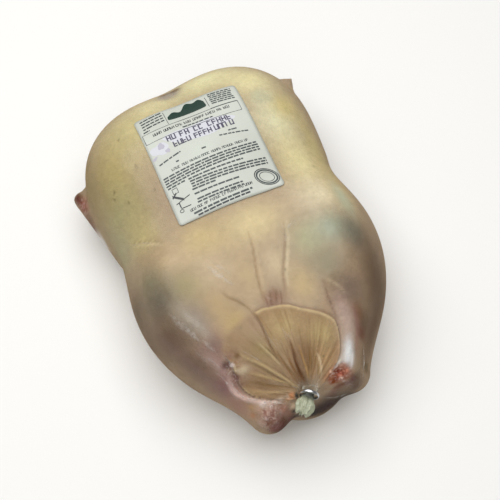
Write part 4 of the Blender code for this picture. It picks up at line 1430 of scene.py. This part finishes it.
FOLDS_AND_SHEEN = {
    "web line": FoldAndSheen(((63.2, -144.5), (60.7, -151.9), (58.1, -159.3), (54.3, -166.8), (50.7, -173.1)), 0.8,
        1),
    "web side": FoldAndSheen(((49.4, -163.3), (48.9, -170.1), (46.0, -175.7), (40.2, -178.4)), 0.6, 0.5),
    "tail band": FoldAndSheen(((7.1, -174.3), (15.8, -176.4), (26.4, -177.3), (35.3, -177.8)), 0.9, 0.8),
    "tail band upper": FoldAndSheen(((9.3, -170.9), (17.8, -173.2), (27.6, -176.0)), 0.7, 0.5),
    "clip right a": FoldAndSheen(((8.4, -167.5), (14.8, -166.8), (20.8, -167.2)), 0.7, 0.6),
    "clip right b": FoldAndSheen(((8.7, -169.4), (15.8, -169.8), (23.5, -171.8)), 0.6, 0.5),
    "clip top": FoldAndSheen(((-4.3, -163.8), (1.9, -165.6), (8.2, -168.0)), 1, 0.8),
    "clip left": FoldAndSheen(((-17.5, -158.2), (-13.6, -160.5), (-9.8, -163.2)), 0.6, 0.7),
    # Painted highlights where the film catches the light: the glare, shimmer and shine strips.
    "belly glare": FoldAndSheen(((-45.9, -31.2), (-41.1, -40.8), (-36.2, -50.2), (-30.3, -59.6)), 3.2, 0.62),
    "belly glare beside": FoldAndSheen(((-39.2, -31.6), (-33.9, -40.2), (-28.6, -48.6)), 1.8, 0.3),
    "thigh shimmer a": FoldAndSheen(((-93.4, -57.3), (-88.8, -70.0), (-83.7, -81.3), (-78.4, -94.0)), 4, 0.42),
    "thigh shimmer b": FoldAndSheen(((-84.5, -60.0), (-79.1, -70.7), (-72.9, -81.5), (-67.8, -92.1)), 3, 0.36),
    "thigh shimmer c": FoldAndSheen(((-85.3, -75.8), (-80.7, -85.7), (-77.0, -97.4)), 2.4, 0.4),
    "leg shimmer a": FoldAndSheen(((-76.7, -92.3), (-71.6, -100.9), (-67.2, -110.8)), 2.4, 0.36),
    "leg shimmer b": FoldAndSheen(((-79.6, -105.5), (-73.4, -113.7), (-68.5, -122.6)), 2, 0.3),
    "leg shimmer c": FoldAndSheen(((-84.9, -97.5), (-80.2, -106.8), (-75.4, -115.9)), 1.6, 0.26),
    "leg shimmer d": FoldAndSheen(((-64.2, -113.0), (-60.6, -118.0), (-59.0, -125.4), (-58.6, -131.2)), 1, 0.6),
    "leg shimmer e": FoldAndSheen(((-75.5, -120.6), (-70.5, -127.1), (-68.0, -134.7), (-66.2, -141.9)), 1.4, 0.5),
    "fold shine": FoldAndSheen(((-63.9, -132.0), (-64.0, -139.1), (-60.6, -147.0), (-54.4, -153.0), (-45.0, -158.5)),
        1.5, 0.8),
    "fold shine low": FoldAndSheen(((-68.2, -130.7), (-68.3, -137.6), (-65.8, -145.3), (-60.1, -152.5)), 1.4, 0.4),
    "hock shine a": FoldAndSheen(((-47.5, -159.6), (-40.3, -161.2), (-32.9, -164.7), (-25.5, -168.3)), 1.1, 0.9),
    "hock shine b": FoldAndSheen(((-55.2, -170.8), (-51.0, -177.0), (-47.0, -181.6)), 1, 0.5),
    "hock shine c": FoldAndSheen(((-37.1, -169.7), (-34.2, -172.3), (-33.9, -176.3)), 1, 0.7),
    "hock shine d": FoldAndSheen(((-49.9, -169.7), (-47.9, -174.0), (-44.0, -176.4)), 0.8, 0.6),
    "hock shine e": FoldAndSheen(((-44.1, -165.3), (-39.9, -164.8), (-37.0, -167.2)), 0.9, 0.9),
    "lobe shine b": FoldAndSheen(((-47.6, -115.0), (-39.7, -123.6), (-32.1, -132.9)), 0.9, 0.45),
    "corner shine": FoldAndSheen(((-56.7, -124.7), (-52.4, -128.3), (-47.3, -132.2)), 1.4, 0.45),
    "waist shine": FoldAndSheen(((-99.6, 26.1), (-89.8, 19.8), (-80.7, 13.0)), 0.9, 0.3),
    "belly right shine": FoldAndSheen(((33.7, -30.8), (41.5, -27.1), (50.5, -25.1)), 1.8, 0.3),
    "belly right shine low": FoldAndSheen(((33.9, -19.3), (34.5, -31.2), (31.2, -42.8)), 1.4, 0.25),
}


class FilmFoldsAndSheen:
    """All the creases of the film and its painted highlights, as one piece."""

    cells_along = 28
    cells_across = 6
    form = BirdForm()

    def build(self) -> bpy.types.Object:
        """Lay a strip over the film for each crease and each painted highlight, and join them.

        Returns:
            The piece.
        """
        strips = []
        for fold in FOLDS_AND_SHEEN.values():
            deselect()
            bpy.ops.mesh.primitive_grid_add(x_subdivisions=self.cells_along,
                y_subdivisions=self.cells_across, size=1.0)
            strip = bpy.context.object
            cells = coordinates(strip.data)[:, :2]
            cover = fold.strength * np.cos(math.pi * cells[:, 1]) * np.cos(math.pi * cells[:, 0]) ** 0.5
            paint(strip.data, HAZE_AND_PAINTED_LIGHT, np.repeat(np.nan_to_num(cover)[:, None], 3, 1))
            reshape(strip.data, fold.shape(cells, self.form))
            strips.append(strip)
        deselect()
        for strip in strips:
            strip.select_set(True)
        bpy.context.view_layer.objects.active = strips[0]
        bpy.ops.object.join()
        bpy.ops.object.shade_smooth()
        piece = bpy.context.object
        piece.name = piece.data.name = "film_folds_and_sheen"
        return hand_in(piece, "wrapped_duck", [CreasedFilmAndSheen().build()])


class FilmTail:
    """The gathered end of the bag that comes out of the clip and droops: milky, crumpled and ragged."""

    segments = 128
    rings = 34
    length = 0.0180
    lean = np.array((-0.24, 0.06, -0.08))
    drop = 0.0034
    neck_radius = 0.0042
    widest_radius = 0.0088
    widest_at = 0.60
    end_radius = 0.0052
    flatness = 0.78
    pleat_count = 7
    pleat_depth = 0.10
    fine_count = 23
    fine_depth = 0.05
    ragged = 0.0016
    crumple = 0.0007
    crumple_size = 0.0036
    closing_from = 0.86
    closing_depth = 0.96
    root_shade_reach = 0.30

    def radius(self, share: float) -> float:
        """Give the tail's radius from the clip, at 0, to the ragged end, at 1."""
        if share < self.widest_at:
            opening = float(smooth_step(np.array(share / self.widest_at)))
            return self.neck_radius + (self.widest_radius - self.neck_radius) * opening
        closing = (share - self.widest_at) / (1.0 - self.widest_at)
        return self.widest_radius + (self.end_radius - self.widest_radius) * closing**1.5

    def build(self) -> bpy.types.Object:
        """Make the tail: a pleated tube that widens, narrows and closes over its ragged end.

        Returns:
            The piece.
        """
        angles = 2 * math.pi * np.arange(self.segments) / self.segments
        centre, axis = FilmBag.clip_centre, FilmBag.clip_axis + self.lean
        axis = axis / np.linalg.norm(axis)
        up = np.array((0.0, 0.0, 1.0)) - axis * axis[2]
        up /= np.linalg.norm(up)
        side = np.cross(up, axis)
        around = side * np.sin(angles)[:, None] + up * (self.flatness * np.cos(angles))[:, None]
        ragged = self.ragged * (0.7 * np.sin(4 * angles + 0.7) + 0.5 * np.sin(11 * angles) + 0.4
            * np.sin(27 * angles))
        last = self.closing_from
        rings = []
        for share in np.linspace(0.0, 1.0, self.rings):
            tube = min(share / last, 1.0)
            closing = max(share - last, 0.0) / (1.0 - last)
            pleats = 1.0 + tube * (self.pleat_depth * np.cos(self.pleat_count * angles + 2.0 * tube)
                                   + self.fine_depth * np.cos(self.fine_count * angles - 3.0 * tube))
            along = -0.003 + (self.length + 0.003) * tube - 0.003 * closing + ragged * tube * (1.0 - closing)
            middle = centre - up * self.drop * min(tube * 4.0, 1.0)
            radius = self.radius(tube) * (1.0 - self.closing_depth * closing)
            rings.append(middle + axis * along[:, None] + around * (radius * pleats)[:, None])
        rings = np.array(rings)
        for row in rings[2:-1]:
            for place in row:
                place += self.crumple * np.array(noise.turbulence_vector(Vector(place / self.crumple_size),
                    2, False))
        piece, order = sphere_from_rings("film_tail", rings)
        # Painted shade at the tail's root, inside the clip ring, stored in the cloud attribute.
        root = np.exp(-((np.linspace(0.0, 1.0, self.rings) / self.root_shade_reach) ** 4))
        paint(piece.data, HAZE_AND_PAINTED_LIGHT, np.repeat(np.repeat(root, self.segments)[order][:, None], 3, 1))
        return hand_in(piece, "wrapped_duck", [GatheredFilm().build()], "bagged_duck")


class Clip:
    """The clip: a flat aluminium wire closed round the bag's neck."""

    ring_radius = 0.0086
    wire_half_thickness = 0.0007
    wire_half_width = 0.0015

    def build(self) -> bpy.types.Object:
        """Make the ring: a torus flattened to a band and turned to the neck's axis.

        Returns:
            The piece.
        """
        deselect()
        bpy.ops.mesh.primitive_torus_add(
            major_segments=72, minor_segments=16, major_radius=self.ring_radius,
            minor_radius=self.wire_half_thickness)
        piece = bpy.context.object
        piece.name = piece.data.name = "clip_ring"
        places = coordinates(piece.data)
        places[:, 2] *= self.wire_half_width / self.wire_half_thickness
        turn = Vector(FilmBag.clip_axis).to_track_quat("Z", "Y").to_matrix()
        reshape(piece.data, places @ np.array(turn).T + FilmBag.clip_centre)
        return hand_in(outward(piece), "clip_aluminium", [DrawnWire().build()], "clip")


class Ink(Enum):
    """The inks of the label's generic print: name and colour, the lowest layer first."""

    HAZE = ("violet_haze", "#cdced4")
    SMUDGE = ("violet_smudge", "#b3afbb")
    TEXT = ("text_ink", "#3d4544")
    BOLD = ("bold_ink", "#23282b")
    GREEN = ("green_ink", "#17352a")
    VIOLET = ("violet_ink", "#3f3a52")


class Shape(Enum):
    """The simple shapes of the label's print."""

    BAR = "bar"
    RING = "ring"
    HILL = "hill"
    BLOT = "blot"


@dataclass(frozen=True)
class Mark:
    """One printed mark: its ink, shape, middle, width, height and slant, in millimetres on the label."""

    ink: Ink
    x: float
    y: float
    width: float
    height: float
    shape: Shape = Shape.BAR
    slant: float = 0.0
    line: float = 0.5

    def plan(self, cells: np.ndarray) -> np.ndarray:
        """Place the corners of a unit grid on this mark.

        Args:
            cells: X and Y of each corner, from -0.5 to 0.5.

        Returns:
            X and Y on the label, in millimetres from its top left corner, Y downwards.
        """
        across, up = cells[:, 0], cells[:, 1]
        if self.shape is Shape.RING:
            turn = 2 * math.pi * across
            radius = np.array((self.width, self.height))[:, None] / 2 + up * self.line
            x, y = radius * np.array((np.sin(turn), np.cos(turn)))
        elif self.shape is Shape.HILL:
            rim = np.sqrt(np.clip(1.0 - (2 * across) ** 2, 0.0, 1.0))
            crown = rim**0.5 * (0.66 + 0.24 * np.sin(5.5 * across) + 0.16 * np.sin(17.0 * across + 0.8))
            x, y = across * self.width, np.where(up > 0, 1.5 * crown, 0.3 * rim**0.4) * up * self.height
        elif self.shape is Shape.BLOT:
            turn, radius = 2 * math.pi * across, up + 0.5
            wobble = 1.0 + 0.12 * np.sin(3 * turn + self.x) + 0.07 * np.sin(5 * turn)
            x, y = radius * wobble * np.array((np.sin(turn) * self.width, np.cos(turn) * self.height)) / 2
        else:
            x, y = across * self.width, up * self.height
        y = y + x * math.tan(math.radians(self.slant))
        return np.column_stack([self.x + x, self.y - y])


LETTER_HEIGHT = 2.0


def letter_strokes(ink: Ink, x: float, y: float, height: float, slant: float,
                   choices: np.random.Generator) -> list[Mark]:
    """Set a few strokes that look like a block letter from afar and read as none.

    Args:
        ink: The ink.
        x: Middle of the letter, in millimetres on the label.
        y: Middle of the letter, downwards.
        height: Height of the letter.
        slant: Slant of the row in degrees.
        choices: The fixed sequence that picks the strokes.

    Returns:
        The strokes.
    """
    half, thick = 0.27 * height, 0.2 * height
    slope = math.tan(math.radians(slant))
    stems = [-half] if choices.random() < 0.5 else [-half, half]
    marks = [Mark(ink, x + side, y - side * slope, thick, height, slant=slant) for side in stems]
    for level in choices.choice((-0.4, 0.0, 0.4), 1 + len(stems) % 2, replace=False):
        marks.append(Mark(ink, x, y + level * height, 2 * half, 0.85 * thick, slant=slant))
    return marks


def text_rows(ink: Ink, left: float, right: float, top: float, rows: int, pitch: float, height: float,
              seed: int, slant: float = 0.0) -> list[Mark]:
    """Set rows of dashes, or of letter-like strokes for tall rows, that stand for lines of print.

    Args:
        ink: The ink.
        left: Left edge of the block, in millimetres on the label.
        right: Right edge.
        top: Middle of the first row.
        rows: Number of rows.
        pitch: From one row to the next.
        height: Height of a dash.
        seed: Start of the fixed sequence of dash lengths.
        slant: Slant of the rows in degrees.

    Returns:
        The marks.
    """
    lengths = np.random.default_rng(seed)
    tall = height > LETTER_HEIGHT
    marks = []
    for row in range(rows):
        x = left + lengths.uniform(0.0, 0.6) * height
        while x < right - 0.5 * height:
            word = min(lengths.uniform(1.6, 4.4) * height, right - x)
            if tall:
                letters = max(round(word / (0.78 * height)), 1)
                for letter in range(letters):
                    middle = x + (letter + 0.5) * word / letters
                    rise = (middle - left) * math.tan(math.radians(slant))
                    marks += letter_strokes(ink, middle, top + row * pitch - rise, height, slant, lengths)
            else:
                middle = x + word / 2
                rise = (middle - left) * math.tan(math.radians(slant))
                marks.append(Mark(ink, middle, top + row * pitch - rise, word, height, slant=slant))
            x += word + lengths.uniform(0.4, 0.7) * height
    return marks


def frame_marks(left: float, right: float, top: float, bottom: float, line: float) -> list[Mark]:
    """Rule a thin frame.

    Args:
        left: Left side, in millimetres on the label.
        right: Right side.
        top: Top side.
        bottom: Bottom side.
        line: Width of the ruled line.

    Returns:
        The frame's four marks.
    """
    middle, centre = (left + right) / 2, (top + bottom) / 2
    sides = [Mark(Ink.BOLD, middle, y, right - left, line) for y in (top, bottom)]
    return sides + [Mark(Ink.BOLD, x, centre, line, bottom - top) for x in (left, right)]


def label_print() -> list[Mark]:
    """Lay out the label's generic print: blocks of dashes, ruled frames, a green hill and a plain ring."""
    marks = [
        Mark(Ink.GREEN, 52.5, 14.0, 41.0, 17.0, Shape.HILL),
        Mark(Ink.BOLD, 95.0, 108.4, 22.6, 17.6, Shape.RING, -14.0, 0.8),
        Mark(Ink.TEXT, 95.0, 108.4, 19.0, 14.4, Shape.RING, -14.0, 1.5),
        Mark(Ink.BOLD, 95.0, 108.4, 13.6, 10.4, Shape.RING, -14.0, 0.6),
        Mark(Ink.HAZE, 55.0, 38.5, 70.0, 17.0, Shape.BLOT, -1.0),
        Mark(Ink.HAZE, 12.0, 43.0, 19.0, 12.0, Shape.BLOT),
        Mark(Ink.SMUDGE, 14.0, 40.5, 6.5, 7.0, Shape.BLOT),
        Mark(Ink.SMUDGE, 18.5, 47.5, 5.0, 4.0, Shape.BLOT),
        Mark(Ink.SMUDGE, 4.0, 50.0, 5.5, 3.0, Shape.BLOT, 18.0),
        Mark(Ink.BOLD, 30.5, 11.5, 0.5, 17.0),
        Mark(Ink.BOLD, 75.0, 11.0, 0.5, 13.0),
        Mark(Ink.TEXT, 88.5, 20.5, 27.0, 0.45),
        Mark(Ink.BOLD, 9.0, 96.0, 9.0, 2.6, slant=-38.0),
        Mark(Ink.BOLD, 6.5, 92.5, 5.0, 1.6, slant=35.0),
        Mark(Ink.BOLD, 12.5, 99.5, 15.0, 0.8, slant=12.0),
        Mark(Ink.BOLD, 8.0, 103.5, 1.0, 6.0),
        Mark(Ink.BOLD, 13.0, 107.0, 9.0, 0.8, slant=-4.0),
        Mark(Ink.BOLD, 7.5, 109.0, 3.6, 3.0, Shape.RING, line=0.6),
    ]
    marks += frame_marks(2.0, 102.5, 21.0, 32.5, 0.45)
    for ink, left, right, top, rows, pitch, height, slant in (
            (Ink.TEXT, 5.0, 28.5, 4.2, 4, 3.6, 1.5, 4.0), (Ink.TEXT, 3.5, 11.0, 18.6, 1, 3.0, 1.4, 4.0),
            (Ink.TEXT, 78.0, 102.0, 2.6, 6, 2.5, 1.4, -3.0), (Ink.BOLD, 10.0, 95.5, 25.6, 1, 3.0, 3.0, 0.6),
            (Ink.TEXT, 41.0, 73.0, 29.6, 1, 3.0, 1.4, -1.0), (Ink.VIOLET, 20.5, 90.0, 35.8, 1, 7.0, 6.0,
            -0.6),
            (Ink.VIOLET, 22.0, 89.0, 44.4, 1, 7.0, 6.0, 1.2), (Ink.TEXT, 80.0, 90.0, 50.6, 1, 3.0, 1.4, -2.0),
            (Ink.TEXT, 70.0, 98.5, 53.0, 1, 3.0, 1.4, -7.0), (Ink.TEXT, 5.0, 29.0, 58.2, 1, 3.0, 1.5, 10.0),
            (Ink.TEXT, 20.5, 24.0, 62.0, 1, 3.0, 1.6, 0.0), (Ink.TEXT, 48.0, 53.0, 60.0, 1, 3.0, 1.6, 0.0),
            (Ink.TEXT, 13.5, 94.0, 68.0, 1, 3.0, 2.7, 1.4), (Ink.TEXT, 3.0, 101.0, 72.9, 4, 2.75, 1.6, 1.4),
            (Ink.TEXT, 24.5, 81.0, 83.9, 1, 2.75, 1.6, 0.0), (Ink.TEXT, 24.5, 102.0, 86.6, 3, 2.75, 1.6,
            -2.0),
            (Ink.TEXT, 24.0, 49.0, 94.8, 1, 2.75, 1.6, -2.0), (Ink.TEXT, 24.0, 70.0, 99.6, 1, 2.8, 1.6, -1.0),
            (Ink.TEXT, 24.0, 71.0, 105.2, 2, 2.8, 1.6, -0.5), (Ink.TEXT, 3.0, 22.0, 83.9, 1, 2.75, 1.5, 1.4),
            (Ink.BOLD, 14.0, 79.0, 112.4, 1, 3.0, 2.6, 2.6), (Ink.TEXT, 15.5, 77.0, 116.4, 1, 2.9, 1.9, 1.8),
            (Ink.BOLD, 19.0, 73.5, 119.4, 1, 2.9, 1.6, 2.0)):
        marks += text_rows(ink, left, right, top, rows, pitch, height, len(marks), slant)
    marks += frame_marks(6.5, 11.5, 86.0, 91.0, 0.5)
    return marks


@dataclass
class Label:
    """The paper label on the film over the breast, with fields of generic print."""

    centre: Plan = (0.002, 0.076)
    size: Plan = (0.108, 0.122)
    turn: float = math.radians(0.2)
    corner: float = 0.006
    gap: float = 0.0005
    thickness: float = 0.0003
    layer: float = 0.00004
    top_bulge: float = 0.003
    form: BirdForm = field(default_factory=BirdForm)

    def laid(self, plan: np.ndarray, lift: float) -> np.ndarray:
        """Lay places of the label's own plan over the film.

        Args:
            plan: X and Y of each place from the label's middle, in metres.
            lift: Height above the film.

        Returns:
            Places in the frame.
        """
        cosine, sine = math.cos(self.turn), math.sin(self.turn)
        rise = (1.0 - (2 * plan[:, 0] / self.size[0]) ** 2) * (0.5 + plan[:, 1] / self.size[1])
        plan = plan + np.column_stack([0.0 * rise, self.top_bulge * rise])
        turned = plan @ np.array(((cosine, sine), (-sine, cosine))) + np.array(self.centre)
        skin = self.form.drape(turned)
        return skin + self.form.normals(skin) * lift

    def build(self) -> bpy.types.Object:
        """Make the label's sheet: a rounded grid, laid over the film and given its thickness.

        Returns:
            The piece.
        """
        deselect()
        bpy.ops.mesh.primitive_grid_add(x_subdivisions=36, y_subdivisions=40, size=1.0)
        piece = bpy.context.object
        piece.name = piece.data.name = "label_sheet"
        corners = np.min(np.abs(coordinates(piece.data)[:, :2]), axis=1) > 0.499
        reshape(piece.data, coordinates(piece.data) * np.array((*self.size, 1.0)))
        bpy.ops.object.mode_set(mode="EDIT")
        bpy.ops.mesh.select_all(action="DESELECT")
        bpy.ops.object.mode_set(mode="OBJECT")
        piece.data.vertices.foreach_set("select", corners)
        bpy.ops.object.mode_set(mode="EDIT")
        bpy.ops.mesh.select_mode(type="VERT")
        bpy.ops.mesh.bevel(offset=self.corner, segments=4, affect="VERTICES")
        bpy.ops.object.mode_set(mode="OBJECT")
        reshape(piece.data, self.laid(coordinates(piece.data)[:, :2], self.gap + self.thickness))
        solid = piece.modifiers.new("thickness", "SOLIDIFY")
        solid.thickness, solid.offset = self.thickness, -1.0
        bpy.ops.object.modifier_apply(modifier=solid.name)
        self.build_print()
        return hand_in(outward(piece), "label_paper", [CoatedPaper().build()], "label")

    def build_print(self) -> bpy.types.Object:
        """Lay every mark of the print over the label's sheet, as one piece with a material for each ink.

        Returns:
            The piece.
        """
        sources = {}
        for shape, cells in (("wide", (8, 1)), ("tall", (1, 8)), ("round", (64, 6))):
            deselect()
            bpy.ops.mesh.primitive_grid_add(x_subdivisions=cells[0], y_subdivisions=cells[1], size=1.0)
            sources[shape] = bpy.context.object
        inks = list(Ink)
        finishes = [PrintingInk(*ink.value).build() for ink in inks]
        copies = []
        for mark in label_print():
            bar = "wide" if mark.width > mark.height else "tall"
            source = sources[bar if mark.shape is Shape.BAR else "round"]
            copy = bpy.data.objects.new("mark", source.data.copy())
            bpy.context.collection.objects.link(copy)
            for finish in finishes:
                copy.data.materials.append(finish)
            layer = inks.index(mark.ink)
            copy.data.polygons.foreach_set("material_index", [layer] * len(copy.data.polygons))
            plan = mark.plan(coordinates(copy.data)[:, :2]) * MM
            middle = np.column_stack([plan[:, 0] - self.size[0] / 2, self.size[1] / 2 - plan[:, 1]])
            reshape(copy.data, self.laid(middle, self.gap + self.thickness + self.layer * (layer + 1)))
            copies.append(copy)
        for source in sources.values():
            bpy.data.objects.remove(source, do_unlink=True)
        deselect()
        for copy in copies:
            copy.select_set(True)
        bpy.context.view_layer.objects.active = copies[0]
        bpy.ops.object.join()
        piece = bpy.context.object
        piece.name = piece.data.name = "label_print"
        return hand_in(piece, "label_paper", finishes)


class Studio:
    """The floor, the lights and the camera."""

    azimuth = math.radians(-23.6)
    elevation = math.radians(64.2)
    target = Vector((0.004, 0.0, 0.054))
    distance = 0.91
    lens = 65.52
    shift = (0.0172, -0.0072)
    world_light = 0.20
    lamps = (("overhead", (-0.08, 0.38, 1.7), 2.2, 38.0), ("front", (-0.5, -1.3, 1.3), 1.4, 5.0))

    def build(self) -> None:
        """Make the floor, the lights and the camera."""
        deselect()
        bpy.ops.mesh.primitive_plane_add(size=6.0)
        floor = bpy.context.object
        floor.name = "floor"
        floor.data.materials.append(StudioFloor().build())
        world = bpy.data.worlds.new("studio")
        world.use_nodes = True
        world.node_tree.nodes["Background"].inputs[0].default_value = (1.0, 1.0, 1.0, 1.0)
        world.node_tree.nodes["Background"].inputs[1].default_value = self.world_light
        bpy.context.scene.world = world
        for name, place, size, power in self.lamps:
            self.lamp(name, place, size, power)
        self.camera()
        bpy.context.scene.view_settings.view_transform = "Standard"

    def lamp(self, name: str, place: Place, size: float, power: float) -> None:
        """Hang one soft lamp that looks at the bird.

        Args:
            name: The lamp's name.
            place: Where it hangs.
            size: Its width.
            power: Its power in watts.
        """
        data = bpy.data.lights.new(name, "AREA")
        data.size, data.energy = size, power
        lamp = bpy.data.objects.new(name, data)
        lamp.location = place
        lamp.rotation_euler = (self.target - Vector(place)).to_track_quat("-Z", "Y").to_euler()
        bpy.context.collection.objects.link(lamp)

    def camera(self) -> None:
        """Set the camera at the photograph's viewing angle."""
        data = bpy.data.cameras.new("photo_camera")
        data.lens = self.lens
        data.shift_x, data.shift_y = self.shift
        data.clip_start, data.clip_end = 0.05, 20.0
        camera = bpy.data.objects.new("photo_camera", data)
        flat = math.cos(self.elevation)
        back = Vector((math.sin(self.azimuth) * flat, -math.cos(self.azimuth) * flat,
            math.sin(self.elevation)))
        right = Vector((math.cos(self.azimuth), math.sin(self.azimuth), 0.0))
        turn = Matrix((right, back.cross(right), back)).transposed()
        camera.matrix_world = Matrix.Translation(self.target + back * self.distance) @ turn.to_4x4()
        bpy.context.collection.objects.link(camera)
        bpy.context.scene.camera = camera


def main() -> None:
    """Load the frame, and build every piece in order."""
    logging.basicConfig(level=logging.INFO, format="%(message)s")
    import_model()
    DuckSkin().build()
    FilmBag().build()
    FilmFoldsAndSheen().build()
    FilmTail().build()
    Clip().build()
    Label().build()
    Studio().build()


if __name__ == "__main__":
    main()
